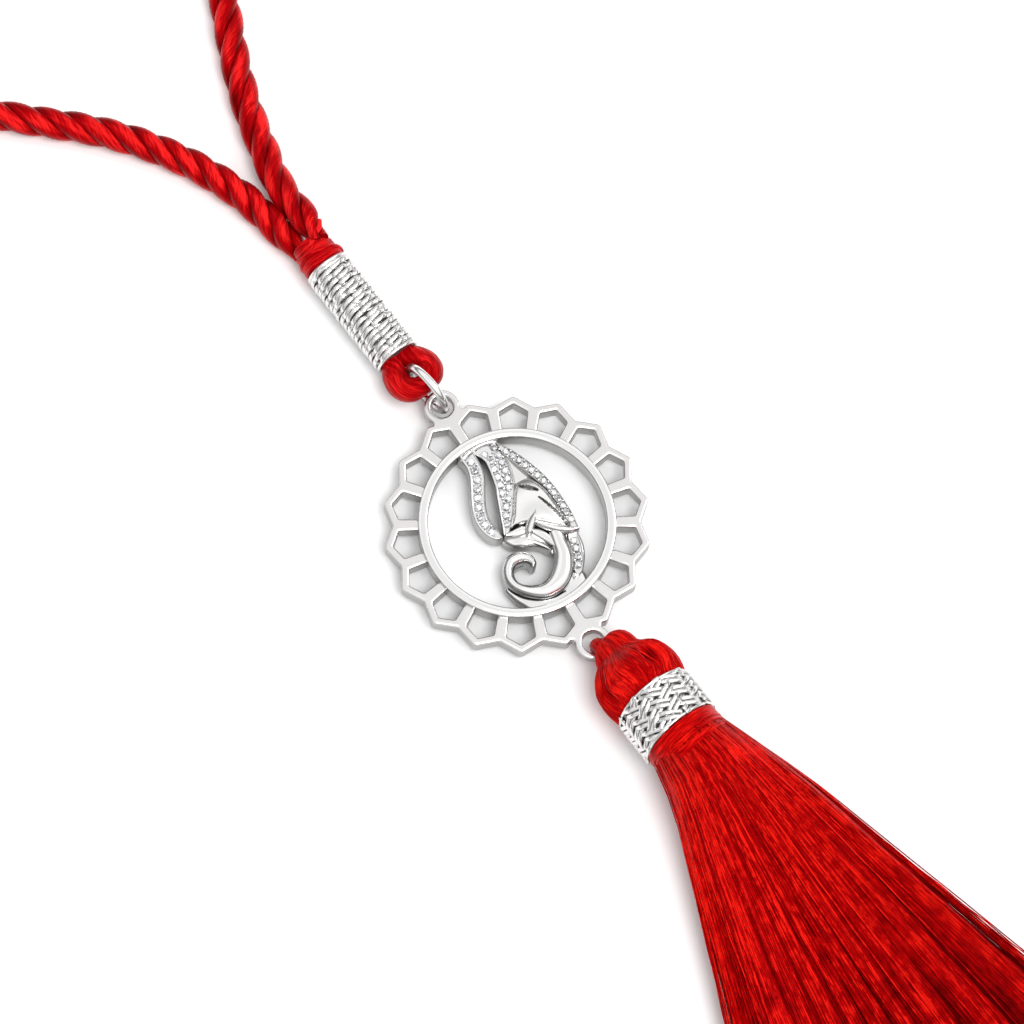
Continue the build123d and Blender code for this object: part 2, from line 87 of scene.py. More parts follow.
# Layers of the skirt's threads: depth from and to, and the pull towards the lock's middle
LAYERS = ((0.86, 0.92, 0.16), (0.9, 0.96, 0.26), (0.94, 1.0, 0.36))

# Light tent: height of the direction and linear colour of the light from there
TENT = ((0.0, (0.2, 0.2, 0.203, 1)), (0.28, (0.2, 0.2, 0.203, 1)), (0.45, (0.82, 0.82, 0.82, 1)),
        (0.65, (0.98, 0.98, 0.98, 1)), (0.82, (0.95, 0.95, 0.95, 1)), (0.93, (0.8, 0.8, 0.805, 1)),
        (1.0, (0.86, 0.86, 0.865, 1)))

# Cord loop: the solids' route, metres
CORD_ROUTE = (
    (-0.006340, 0.055270, 0.001340),
    (-0.007120, 0.059490, 0.001320),
    (-0.008420, 0.063690, 0.001320),
    (-0.011120, 0.068890, 0.001320),
    (-0.015620, 0.074490, 0.001320),
    (-0.022120, 0.079890, 0.001320),
    (-0.029620, 0.086490, 0.001320),
    (-0.035420, 0.094790, 0.001320),
    (-0.037120, 0.105690, 0.001320),
    (-0.033420, 0.116490, 0.001320),
    (-0.024320, 0.123290, 0.001320),
    (-0.013120, 0.124390, 0.001320),
    (-0.002720, 0.119490, 0.001320),
    (0.003780, 0.110690, 0.001320),
    (0.005980, 0.099990, 0.001320),
    (0.004680, 0.089690, 0.001320),
    (0.000780, 0.080490, 0.001320),
    (-0.002120, 0.073090, 0.001320),
    (-0.003820, 0.066490, 0.001340),
    (-0.004270, 0.060490, 0.002300),
    (-0.004470, 0.055550, 0.003160),
)

# Figure in hundredths of the bore radius: x to the right, y to the upper lug, half width
EAR_BAND = ((-5, 104, 9.2), (-7, 94, 8.8), (-7, 83, 8.5), (-10, 70, 8.8), (-17, 57, 8.6),
            (-24, 45, 8.4), (-29, 34, 8.4), (-32, 23, 8.2), (-32, 12, 7.6), (-29, 2, 6.6),
            (-24, -7, 3.5))
EAR_LEAF = ((13, 104, 15.0), (16, 94, 14.4), (18, 82, 11.8), (17, 69, 11.6), (14, 55, 11.4),
            (10, 43, 10.8), (4, 32, 10.0), (-2, 21, 8.6), (-8, 11, 7.0), (-14, 1, 5.0),
            (-20, -8, 3.0))
CREST = ((19, 101, 3.5), (28, 87, 4.5), (36, 72, 5.5), (43, 54, 6.0), (49, 36, 5.8),
         (53, 17, 5.4), (54, -3, 5.4), (54, -21, 5.0), (52, -40, 4.0))
TRUNK = ((39, -36, 16.0), (37, -50, 17.0), (31, -63, 16.5), (19, -76, 15.0), (2, -83, 12.0),
         (-16, -82, 9.0), (-31, -74, 6.5), (-40, -63, 5.5), (-42, -52, 6.2), (-38, -42, 6.8),
         (-30, -36, 7.6), (-20, -36, 7.6), (-12, -42, 5.5), (-10, -51, 3.0))
TRUNK_CROWN = ((31, -30, 8.4), (29, -42, 9.2), (26, -56, 10.2), (18, -69, 11.4), (8, -78, 11.8),
               (-4, -82.5, 10.6), (-17, -82, 8.8), (-31, -74, 6.5), (-40, -63, 5.5),
               (-42, -52, 6.1), (-38, -42, 6.7), (-30, -35.5, 7.2), (-20, -35.5, 7.2),
               (-12.5, -41, 6.0), (-10.2, -48.5, 4.4), (-13.5, -54.5, 3.0))
TRUNK_FIELD = ((46, -41, 5.6), (43.5, -51, 6.6), (41, -60, 6.4), (37.5, -69, 5.8), (32.5, -77, 5.2),
               (26, -85, 4.6))
EYE_GROOVE = ((25, 35, 1.6), (31, 28.5, 3.5), (38, 20, 1.6))
CHEEK_GROOVE = ((35, 11, 1.0), (40, -4, 2.0), (44.5, -18, 2.2), (46.5, -31, 1.4))
JAW_BAND = ((14, -9, 1.6), (19, -14, 3.4), (27, -23, 4.6), (36, -31.5, 4.8), (46, -38.5, 4.2),
            (55, -42.5, 2.6))
TUSK = ((23.5, 0.5, 1.2), (18.5, -3.5, 3.3), (12, -9, 4.8), (5, -16, 5.0), (2, -20, 3.6))
LIP = ((-19, -6.5, 1.5), (-12, -8.2, 4.0), (-5, -9.6, 5.4), (2, -11.5, 5.2), (7, -13.5, 2.8))
LEFT_SLIT = ((-11, -4.4, 0.4), (-7, -3.4, 0.8), (-1, -2.5, 1.0), (5, -3.4, 0.9), (8.5, -5.6, 0.4))
RIGHT_SLIT = ((11.5, -12.5, 0.5), (17.5, -19, 0.7), (22.8, -26.5, 0.8), (24.9, -35.5, 1.2),
              (24.5, -42, 1.3), (23.5, -46.5, 0.6))
EAR_ROOT = ((-17, 97), (-3, 101), (12, 102), (24, 100), (33, 95), (29, 90.5), (21, 94), (10, 95.5),
            (-2, 94.5), (-15, 91))
TRUNK_SLIT = ((-47.5, -58, 0.6), (-43, -68, 1.5), (-34, -79.5, 1.5), (-22, -88.5, 1.4),
              (-8, -93, 1.2), (6, -93.5, 0.6))
CHIN_FOLD = ((-4, -19, 2.2), (1, -24, 3.0), (8, -31, 3.2), (13.5, -39.5, 2.8), (16, -47, 1.6))
CHIN_RIDGE = ((7, -15.5, 2.4), (13, -20.5, 4.6), (18, -28.5, 5.2), (20.6, -37, 4.2),
              (20.8, -45, 2.0))
CHIN_PLATE = ((-24, -5), (-19, -19), (-7, -27), (8, -36), (18, -50), (34, -47), (34, -30),
              (12, -8), (-11, 0))
BACK_PLATE = ((-50, -56), (-49, -69), (-44, -82), (-37, -95), (-20, -102), (4, -103), (27, -99),
              (36, -94), (35, -75), (19, -72), (1, -80), (-18, -79), (-32, -71), (-41, -57))
FACE = ((24, 97), (31, 84), (34, 68), (38, 53), (43, 35), (47, 17), (48, -2), (49, -20), (48, -38),
        (40, -31), (30, -21), (23, -14), (17, -10), (11, -8), (5, -5), (-4, -3), (-11, -3),
        (-8, 2), (-1, 9), (5, 18), (12, 29), (18, 38), (23, 49), (26, 60), (27, 74), (20, 95))


def linear(colour):
    """Linear colour from sRGB hex: below 0.04045 divided by 12.92, above it a power of 2.4. Any
    other value stays as it is."""
    if not str(colour).startswith("#"):
        return colour
    steps = [int(colour[i:i + 2], 16) / 255.0 for i in (1, 3, 5)]
    return [c / 12.92 if c <= 0.04045 else ((c + 0.055) / 1.055) ** 2.4 for c in steps] + [1.0]


def add(tree, kind, settings=(), links=(), out=0, stops=(), to=None):
    """Adds a node, sets its named properties, sockets and colour stops, and links sockets to it.
    Gives back one of its outputs, if it has any, which goes on to a socket if one is named."""
    node = tree.nodes.new("ShaderNode" + kind)
    for name, value in dict(settings).items():
        if isinstance(name, int) or name in node.inputs:
            node.inputs[name].default_value = linear(value)
        else:
            setattr(node, name, value)
    for name, socket in dict(links).items():
        tree.links.new(socket, node.inputs[name])
    for k, (place, colour) in enumerate(stops):
        elements = node.color_ramp.elements
        element = elements[k] if k < 2 else elements.new(place)
        element.position, element.color = place, linear(colour)
    output = node.outputs[out] if node.outputs else None
    if to is not None:
        tree.links.new(output, to)
    return output


def new_material(name, settings):
    """Empty material with one Principled shader whose constants are set on its own sockets. Gives
    back its node tree and the shader's inputs."""
    material = bpy.data.materials.new(name)
    material.use_nodes = True
    tree = material.node_tree
    tree.nodes.clear()
    surface = add(tree, "BsdfPrincipled", settings)
    add(tree, "OutputMaterial", links={"Surface": surface})
    return tree, surface.node.inputs


def polished_silver(name, tops, smooth):
    """Cast silver, tumbled and rhodium plated: smooth and bright on top, rougher on the upright
    walls of the piercing. Its colour holds painted shade: it greys as the surface leans away from
    facing up, on walls and slopes alike."""
    tree, into = new_material(name, {"Metallic": 1.0})
    place = add(tree, "TexCoord", out="Object")
    normal = add(tree, "NewGeometry", out="Normal")
    facing = add(tree, "SeparateXYZ", links={0: normal}, out="Z")
    # Painted shade: the tops' colour fades to grey as the normal turns from up to sideways
    add(tree, "ValToRGB", links={"Fac": facing}, to=into["Base Color"],
        stops=((0.0, "#A3A2A1"), (0.3, "#B9B8B7"), (0.75, tops), (1.0, tops)))
    # Fine wheel marks, 0.12 mm apart so that they show
    marks = add(tree, "TexNoise", {"Scale": 1000 / 0.12, "Detail": 1.0}, {"Vector": place})
    rough = add(tree, "MapRange", {"To Min": 0.3, "To Max": smooth}, {"Value": facing})
    add(tree, "Math", {"operation": "MULTIPLY_ADD", 1: 0.08}, {0: marks, 2: rough},
        to=into["Roughness"])
    # Ripples 1.2 mm wide are what polishing leaves between the petals
    peel = add(tree, "TexNoise", {"Scale": 1000 / 1.2, "Detail": 2.0}, {"Vector": place})
    add(tree, "Bump", {"Strength": 0.12, "Distance": 0.00006}, {"Height": peel}, to=into["Normal"])


def grained(name, settings, grain, strength, height):
    """Material of one colour whose grains have a width in millimetres and a height in metres."""
    tree, into = new_material(name, settings)
    place = add(tree, "TexCoord", out="Object")
    grains = add(tree, "TexNoise", {"Scale": 1000 / grain}, {"Vector": place})
    add(tree, "Bump", {"Strength": strength, "Distance": height}, {"Height": grains},
        to=into["Normal"])


def cut_zirconia(name):
    """Cut and polished cubic zirconia, clear. Its facets carry painted reflections: each gets a
    random colour from grey to bright white, standing in for the light it would show from below."""
    tree, into = new_material(name, {
        "Roughness": 0.03, "IOR": 2.15, "Transmission Weight": 0.25, "Coat Weight": 0.3})
    flash = add(tree, "Attribute", {"attribute_name": "shade"}, out="Fac")
    add(tree, "ValToRGB", links={"Fac": flash}, to=into["Base Color"],
        stops=((0.0, "#3F4247"), (0.34, "#A0A3A7"), (0.64, "#F2F3F4"), (1.0, "#FFFFFF")))


def silver_thread(name):
    """Metallised polyester thread: thin bright foil with fine twist lines and dark gaps."""
    tree, into = new_material(name, {
        "Metallic": 1.0, "Base Color": "#ECEBEA", "Roughness": 0.2})
    lay = add(tree, "UVMap", {"uv_map": "lay"})
    slanted = add(tree, "Mapping", {"Rotation": (0.0, 0.0, math.radians(25))}, {"Vector": lay})
    # Foil wraps 0.079 mm wide, slanted round the thread: a wave is a tenth of pi over its scale
    wraps = add(tree, "TexWave", {"Scale": math.pi / 10 / 0.078917, "Distortion": 0.6},
                {"Vector": slanted}, "Fac")
    add(tree, "ValToRGB", links={"Fac": wraps}, to=into["Base Color"],
        stops=((0.0, "#B9B7B6"), (0.5, "#F2F1F0"), (1.0, "#F7F6F5")))
    add(tree, "Bump", {"Strength": 0.25, "Distance": 0.00004}, {"Height": wraps},
        to=into["Normal"])


def red_silk(name, dark, mid, bright, across, along, tuft, rough):
    """Dyed filament silk: lustrous fibres side by side. Dye tints what little they mirror, so their
    highlights stay red; the fibres wave a little. The colour holds painted highlight and shade:
    tufts of noise are painted brighter, and each piece's shade attribute adds its own."""
    tree, into = new_material(name, {
        "Base Color": mid, "Roughness": rough, "IOR": 1.42, "Specular IOR Level": 0.28,
        "Specular Tint": "#FF3026"})
    lay = add(tree, "UVMap", {"uv_map": "lay"})
    # Waves 2 mm long push the fibres up to a quarter of a millimetre aside
    waves = add(tree, "TexNoise", {"Scale": 1 / 2.0, "Detail": 0.0}, {"Vector": lay}, "Color")
    waved = add(tree, "VectorMath", {"operation": "MULTIPLY_ADD", 1: (0.5, 0.0, 0.0)},
                {0: waves, 2: lay})
    stretch = add(tree, "Mapping", {"Scale": (1 / across, 1 / along, 1.0)}, {"Vector": waved})
    fibres = add(tree, "TexNoise", {"Scale": 1.0, "Detail": 3.0, "Roughness": 0.6},
                 {"Vector": stretch})
    spread = add(tree, "Mapping", {"Scale": (1 / tuft, 1 / 2.6, 1.0)}, {"Vector": waved})
    tufts = add(tree, "TexNoise", {"Scale": 1.0, "Detail": 1.0}, {"Vector": spread})
    # The shade attribute carries each piece's painted shade and highlight
    shade = add(tree, "Attribute", {"attribute_name": "shade"}, out="Fac")
    lit = add(tree, "Math", {"operation": "MULTIPLY_ADD", 1: 0.6}, {0: tufts, 2: shade})
    both = add(tree, "Math", {"operation": "MULTIPLY_ADD", 1: 0.8}, {0: fibres, 2: lit})
    add(tree, "ValToRGB", links={"Fac": both}, to=into["Base Color"],
        stops=((0.4, dark), (0.78, mid), (0.98, bright)))
    add(tree, "Bump", {"Strength": 0.5, "Distance": 0.00006}, {"Height": fibres},
        to=into["Normal"])


YARN = "twisted red silk"
COMBED = "combed red silk threads"
BRIGHT = "polished rhodium-plated silver"
SATIN = "tumbled rhodium-plated silver"
BLACK = "blackened silver"
FOIL = "metallised silver thread"
SHADE_CORE = "grey cotton core"
STONE = "cut cubic zirconia"
PAPER = "backdrop paper"

# Slot, maker and settings of each material. A silk's settings are three colours, the width and
# length of a fibre, the width of a tuft and the roughness; a silver's are the colour and
# roughness of its tops.
FINISHES = {
    YARN: ("red_silk", red_silk, "#560003", "#A00309", "#E62020", 0.11, 1.4, 0.5, 0.36),
    COMBED: ("red_silk", red_silk, "#540002", "#A60205", "#E41B11", 0.13, 1.3, 0.36, 0.34),
    BRIGHT: ("polished_silver", polished_silver, "#F4F3F2", 0.1),
    SATIN: ("polished_silver", polished_silver, "#E6E4E3", 0.2),
    # Painted shadow: a dull dark metal sheet at the bottom of the deep cuts, where shade falls
    BLACK: ("polished_silver", grained,
            {"Metallic": 1.0, "Base Color": "#1C1B1A", "Roughness": 0.6}, 0.08, 0.2, 0.00003),
    FOIL: ("silver_thread", silver_thread),
    # Spun cotton under the foil thread, matt; its dark grey is painted shade, so the gaps between
    # the turns go dark
    SHADE_CORE: ("silver_thread", grained,
             {"Base Color": "#4A4745", "Roughness": 0.95, "Specular IOR Level": 0.1},
             0.1, 0.5, 0.00005),
    STONE: ("clear_stones", cut_zirconia),
    # Seamless backdrop paper: matt white with a barely visible tooth
    PAPER: (None, grained, {"Base Color": "#F7F7F7", "Roughness": 0.9, "Specular IOR Level": 0.1},
            0.6, 0.05, 0.0001),
}


def finished(name):
    """The material of that name, made on first use."""
    if name not in bpy.data.materials:
        _, maker, *settings = FINISHES[name]
        maker(name, *settings)
    return bpy.data.materials[name]


def grid(rings, corners, closed=False):
    """Quads between rings of corners, from the last ring to the first too if closed, and for each
    quad's corners their ring and corner numbers."""
    i, j = np.meshgrid(np.arange(rings - (not closed)), np.arange(corners), indexing="ij")
    i = i.ravel()[:, None] + (0, 0, 1, 1)
    j = j.ravel()[:, None] + (0, 1, 1, 0)
    return (i % rings) * corners + j % corners, np.stack([i, j], -1)


def solids(points, flip=False):
    """Faces of solids, each of which is a row of rings of points: quads from ring to ring and a
    face on each end, turned over if asked. Also gives the numbers of each quad's corners."""
    count, rings, corners = points.shape[:3]
    quads, index = grid(rings, corners)
    each = np.arange(count)[:, None, None] * rings * corners
    ends = np.arange(corners)
    caps = np.concatenate([each[:, 0] + ends[::-1], each[:, 0] + (rings - 1) * corners + ends])
    step = -1 if flip else 1
    return [(quads + each).reshape(-1, 4)[:, ::step], caps[:, ::step]], index


def joined(shapes):
    """Joins (points, face arrays, uv arrays) shapes into one."""
    points, faces, uvs, count = [], [], [], 0
    for shape_points, shape_faces, shape_uvs in shapes:
        points.append(shape_points)
        faces += [face + count for face in shape_faces]
        uvs += shape_uvs
        count += len(shape_points)
    return np.concatenate(points), faces, uvs


def laid(points, *faces):
    """Shape whose uv are its corners' places in the floor plane, in millimetres."""
    points = points.reshape(-1, 3)
    return points, list(faces), [points[face][..., :2] for face in faces]


def corner_angles(corners, first=0.0):
    """Angles of the corners of one turn."""
    return np.linspace(first, first + 2 * np.pi, corners, endpoint=False)


def around(radius, angle, height):
    """Points at a radius, an angle and a height round the upright axis."""
    return np.stack(np.broadcast_arrays(
        radius * np.cos(angle), radius * np.sin(angle), height), -1)


def apart(places, others):
    """Distance from each place to each of the others."""
    return np.linalg.norm(places[:, None] - others, axis=-1)


def ease(share):
    """Share held to 0 to 1, with no slope at either end: three squares less two cubes."""
    share = np.clip(share, 0, 1)
    return share ** 2 * (3 - 2 * share)


def make_piece(name, node, finish, shape, shade=None, smooth_angle=40.0):
    """Mesh object in a node's place, from points in millimetres, arrays of faces and their uv in
    millimetres. The shade is one number, or one for each face or point."""
    points, faces, uvs = shape
    mesh = bpy.data.meshes.new(name)
    corners = np.concatenate([face.ravel() for face in faces])
    sizes = np.concatenate([np.full(len(face), face.shape[1]) for face in faces])
    mesh.vertices.add(len(points))
    mesh.vertices.foreach_set("co", (points * 0.001).ravel())
    mesh.loops.add(len(corners))
    mesh.loops.foreach_set("vertex_index", corners)
    mesh.polygons.add(len(sizes))
    mesh.polygons.foreach_set("loop_start", np.cumsum(sizes) - sizes)
    layer = mesh.uv_layers.new(name="lay")
    layer.data.foreach_set("uv", np.concatenate([uv.ravel() for uv in uvs]))
    if shade is not None:
        by_face = np.size(shade) == len(sizes)
        attribute = mesh.attributes.new("shade", "FLOAT", "FACE" if by_face else "POINT")
        count = len(sizes) if by_face else len(points)
        attribute.data.foreach_set("value", np.broadcast_to(shade, count).astype(np.float32))
    mesh.update(calc_edges=True)
    mesh.validate()
    if smooth_angle:
        mesh.shade_smooth()
        mesh.set_sharp_from_angle(angle=math.radians(smooth_angle))
    mesh.materials.append(finished(finish))
    piece = bpy.data.objects.new(name, mesh)
    bpy.context.scene.collection.objects.link(piece)
    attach(piece, "root")
    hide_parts(node)
    return piece


def unit(vectors):
    """Vectors of length one."""
    return vectors / np.maximum(np.linalg.norm(vectors, axis=-1, keepdims=True), 1e-12)


def smooth_line(rows, count):
    """Points on a smooth line through rows: each span is a cubic whose slope at a row is half
    the step from the row before to the row after."""
    rows = np.array(rows, float)
    slopes = np.gradient(rows, axis=0)
    t = np.linspace(0, len(rows) - 1, count)
    k = np.minimum(t.astype(int), len(rows) - 2)
    t = (t - k)[:, None]
    return ((2 * t ** 3 - 3 * t ** 2 + 1) * rows[k] + (t ** 3 - 2 * t ** 2 + t) * slopes[k]
            + (3 * t ** 2 - 2 * t ** 3) * rows[k + 1] + (t ** 3 - t ** 2) * slopes[k + 1])


def lengths(line):
    """Distance walked along lines of points to each point."""
    steps = np.linalg.norm(np.diff(line, axis=-2), axis=-1)
    return np.concatenate([np.zeros(steps.shape[:-1] + (1,)), np.cumsum(steps, -1)], -1)


def tubes(lines, outward, high, wide, sides, lobes=0, lobe_depth=0.0, twist=0.0):
    """Ovals carried along a line or many: a point is the line's plus high times the cosine of an
    angle outwards plus wide times its sine sideways, swollen by lobes that turn with twist. The
    seam lies inwards."""
    lines = np.reshape(lines, (-1,) + np.shape(lines)[-2:])
    outward = np.broadcast_to(outward, lines.shape)
    along = unit(np.gradient(lines, axis=1))
    out = unit(outward - along * np.sum(outward * along, -1, keepdims=True))
    side = np.cross(along, out)
    high, wide = (np.broadcast_to(size, lines.shape[:2])[..., None, None] for size in (high, wide))
    angle = corner_angles(sides, -np.pi)
    walked = lengths(lines)
    swell = 1 + lobe_depth * np.cos(lobes * (angle - twist * walked[..., None]))[..., None]
    points = lines[:, :, None] + swell * (
        high * np.cos(angle)[:, None] * out[:, :, None]
        + wide * np.sin(angle)[:, None] * side[:, :, None])
    faces, index = solids(points)
    ring, corner = index[..., 0], index[..., 1]
    girth = np.pi * (high + wide)[..., 0, 0]
    # Each line's fibres start 7.3 mm on from the last one's, so that no two are alike
    start = 7.3 * np.arange(len(lines))[:, None, None]
    uv = np.stack([corner / sides * girth[:, ring], walked[:, ring] + start], -1)
    return points.reshape(-1, 3), faces, [uv, np.zeros(faces[1].shape + (2,))]


def on_axis(start, along):
    """Gives a function from a distance, an angle and a radius to a point round a straight axis
    and its outward direction."""
    along = unit(np.array(along, float))
    side = unit(np.cross(along, (0, 0, 1)))
    up = np.cross(side, along)

    def place(distance, angle, radius):
        distance, angle, radius = np.broadcast_arrays(distance, angle, radius)
        out = np.cos(angle)[..., None] * side + np.sin(angle)[..., None] * up
        return start + distance[..., None] * along + out * radius[..., None], out
    return place


def on_tassel(distance, angle, radius):
    """Point and outward direction round the tassel's bending axis, at a distance from the top of
    its head. Above the head its section is flattened, to pass over the lug. Round the band the
    sections lean: the upper side lies nearer to the head by the sine of the angle."""
    distance, angle, radius = np.broadcast_arrays(distance, angle, radius)
    lean = np.interp(distance, (3.0, 6.0, 10.0, 12.5), (0.0, 0.8, 0.5, 0.0))
    distance = distance - lean * np.sin(angle)
    table = smooth_line(TASSEL_LINE, 300)
    x, y, z, flat = (np.interp(distance, table[:, 0], table[:, k]) for k in (1, 2, 3, 4))
    yaw = np.interp(distance, table[:, 0], np.gradient(table[:, 1], table[:, 2]))
    side = unit(np.stack([-np.ones(yaw.shape), yaw, 0 * yaw], -1))
    out = np.cos(angle)[..., None] * side + (flat * np.sin(angle))[..., None] * (0, 0, 1)
    return np.stack([x, y, z], -1) + out * radius[..., None], unit(out)


def wrapped(points, rows, widest):
    """Shape of rings of points round an axis, both ends closed. Its uv are the way round at the
    widest radius and the way along the profile rows."""
    faces, index = solids(points[None], flip=True)
    uv = np.stack([index[..., 1] / points.shape[1] * 2 * np.pi * widest,
                   lengths(rows)[index[..., 0]]], -1)
    return points.reshape(-1, 3), faces, [uv[:, ::-1], np.zeros(faces[1].shape + (2,))]


def turned(rows, sides, place):
    """Profile of distance and radius turned round an axis."""
    rows = np.array(rows, float)
    points, _ = place(rows[:, :1], corner_angles(sides), rows[:, 1:])
    return wrapped(points, rows, rows[:, 1].max())


def net(places, edges, closeness):
    """Places joined by triangles along the edges and inside them."""
    outline = places[edges]
    places, _, triangles, _, _, _ = delaunay_2d_cdt(
        [tuple(p) for p in places], edges.tolist(), [], 1, closeness)
    places, triangles = np.array([tuple(p) for p in places]), np.array(triangles)
    return places, triangles[within(places[triangles].mean(1), outline)]


def circuit(first, last):
    """Edges that join numbers from first to before last in a ring."""
    numbers = np.arange(first, last)
    return np.column_stack([numbers, np.roll(numbers, -1)])


def rounded(rows):
    """Closed outline of rows of x, y and a radius, each corner cut by an arc: the arc's middle
    lies on the bisector, and its ends a radius over the half angle's tangent from the corner.
    Radius 0 keeps the corner."""
    corners, radii = np.split(np.array(rows, float), [2], 1)
    before, after = unit(np.roll(corners, 1, 0) - corners), unit(np.roll(corners, -1, 0) - corners)
    half = 0.5 * np.arccos(np.clip(np.sum(before * after, -1, keepdims=True), -1, 1))
    middle = corners + unit(before + after) * radii / np.sin(half)
    first = corners + before * radii / np.tan(half) - middle
    last = corners + after * radii / np.tan(half) - middle
    sweep = np.arctan2(first[:, :1] * last[:, 1:] - first[:, 1:] * last[:, :1],
                       np.sum(first * last, -1, keepdims=True))
    arc_points = 6
    turn = sweep * np.linspace(0, 1, arc_points)
    arcs = middle[:, None] + np.stack([
        first[:, :1] * np.cos(turn) - first[:, 1:] * np.sin(turn),
        first[:, :1] * np.sin(turn) + first[:, 1:] * np.cos(turn)], -1)
    points = arcs.reshape(-1, 2)
    return points[np.linalg.norm(points - np.roll(points, 1, 0), axis=1) > 1e-4]


def inset(loop, distance):
    """Loop moved to its left by a distance, corners kept by their mitre."""
    ahead = unit(np.roll(loop, -1, 0) - loop)
    normal = np.stack([-ahead[:, 1], ahead[:, 0]], -1)
    back = np.roll(normal, 1, 0)
    return loop + (normal + back) * distance / (1 + np.sum(normal * back, -1, keepdims=True))


def within(places, edges):
    """Places inside an outline: a line from the place to the right crosses an odd number of the
    outline's edges."""
    x, y = places[:, None, 0], places[:, None, 1]
    ax, ay, bx, by = edges[:, 0, 0], edges[:, 0, 1], edges[:, 1, 0], edges[:, 1, 1]
    spans = (ay > y) != (by > y)
    meets = ax + (y - ay) / np.where(ay == by, 1.0, by - ay) * (bx - ax)
    return np.sum(spans & (meets > x), 1) % 2 == 1


def edged_plate(loops, bottom, top, edge):
    """Flat plate inside loops that keep the metal on their left: walls, edges rounded to a
    quarter of an oval, and flat faces filled between the innermost loops."""
    oval, foot_edge = 0.65 * edge, 0.06
    quarter = np.linspace(0, np.pi / 2, 7)
    # How far in, share of the height and millimetres added to it
    rows = [(foot_edge, 0.0, 0.0), (0.0, 0.0, foot_edge), (0.0, 1.0, -oval - 0.03)]
    rows += [(edge * (1 - np.cos(a)), 1.0, -oval * (1 - np.sin(a))) for a in quarter]
    rows += [(edge + 0.02, 1.0, 0.0)]
    walls = []
    for loop in loops:
        rings = []
        for depth, share, rise in rows:
            place = inset(loop, depth)
            low = bottom(place)
            rings.append(np.column_stack([place, low + (top - low) * share + rise]))
        walls.append(np.stack(rings))
    shapes = [laid(wall, grid(*wall.shape[:2])[0]) for wall in walls]
    starts = np.cumsum([0] + [len(loop) for loop in loops])
    edges = np.concatenate([circuit(*span) for span in zip(starts, starts[1:])])
    for row, step in ((-1, 1), (0, -1)):
        places, triangles = net(np.concatenate([wall[row, :, :2] for wall in walls]), edges, 1e-6)
        height = np.broadcast_to(top if row else bottom(places), len(places))
        shapes.append(laid(np.column_stack([places, height]), triangles[:, ::step]))
    return joined(shapes)


def polar(radius, degrees):
    """Points from radii and angles."""
    return np.stack([radius * np.cos(np.radians(degrees)), radius * np.sin(np.radians(degrees))], -1)


def figure_xy(rows):
    """Plan of figure points from hundredths of the bore radius."""
    return PENDANT[:2] + np.array(rows, float)[..., :2] * UNIT


def relief(rows, profile, count, blunt=True):
    """Profile carried along a band of the figure: each profile row gives a share of the half
    width, millimetres added to it and a height, and stays inside the band's edges. A band that
    isn't blunt narrows at its far end by a quarter circle."""
    line = smooth_line(rows, count)
    centre, half = figure_xy(line), np.maximum(line[:, 2:], 0.3) * UNIT
    if not blunt:
        left = lengths(centre)[-1] - lengths(centre)
        bite = np.clip(1 - left / 0.55, 0, 1)[:, None]
        half = half * np.sqrt(1 - 0.995 * bite ** 2)
    ahead = unit(np.gradient(centre, axis=0))
    side = np.stack([ahead[:, 1], -ahead[:, 0]], -1)
    share, extra, height = np.array(profile, float).T
    across = np.clip(share * half + extra * np.minimum(1, half / 0.35), -half, half)
    place = centre[:, None] + across[..., None] * side[:, None]
    z = np.broadcast_to(PENDANT[2] + height, across.shape)
    points = np.concatenate([place, z[..., None]], -1)
    return laid(points, *solids(points[None])[0])


def set_band(top, left_rim, right_rim):
    """Profile of a band set with stones: two round-edged rims and a channel between them."""
    floor = top - 0.22
    return ((-1, 0, 0), (-1, 0, top - 0.16), (-1, 0.03, top - 0.06), (-1, 0.08, top),
            (-1, left_rim - 0.06, top), (-1, left_rim - 0.01, top - 0.05), (-1, left_rim, floor),
            (0, 0, floor), (1, -right_rim, floor), (1, 0.01 - right_rim, top - 0.03),
            (1, 0.07 - right_rim, top + 0.05), (1, -right_rim / 2, top + 0.07),
            (1, -0.09, top + 0.03), (1, -0.03, top - 0.05), (1, 0, top - 0.18), (1, 0, 0))


def ridge(foot, top, full=0.75):
    """Profile of a polished round-backed band: one minus the square of the share of the half
    width, to the power full."""
    share = -np.cos(np.linspace(0, np.pi, 25))
    crown = np.column_stack([share, 0 * share, foot + (top - foot) * (1 - share ** 2) ** full])
    return np.concatenate([[(-1, 0, 0)], crown, [(1, 0, 0)]])


def slit(top):
    """Profile of a dark sheet of painted shadow at the bottom of a cut."""
    return ((-1, 0, 0), (-1, 0, top), (1, 0, top), (1, 0, 0))


def groove(place, rows, depth):
    """Depth of a cut along a band of the figure: whole on the middle line, falling evenly with
    the distance to nothing at the band's half width."""
    line = smooth_line(rows, 80)
    away = apart(place, figure_xy(line))
    half = line[away.argmin(1), 2] * UNIT
    return depth * np.clip(1 - away.min(1) / half, 0, 1)


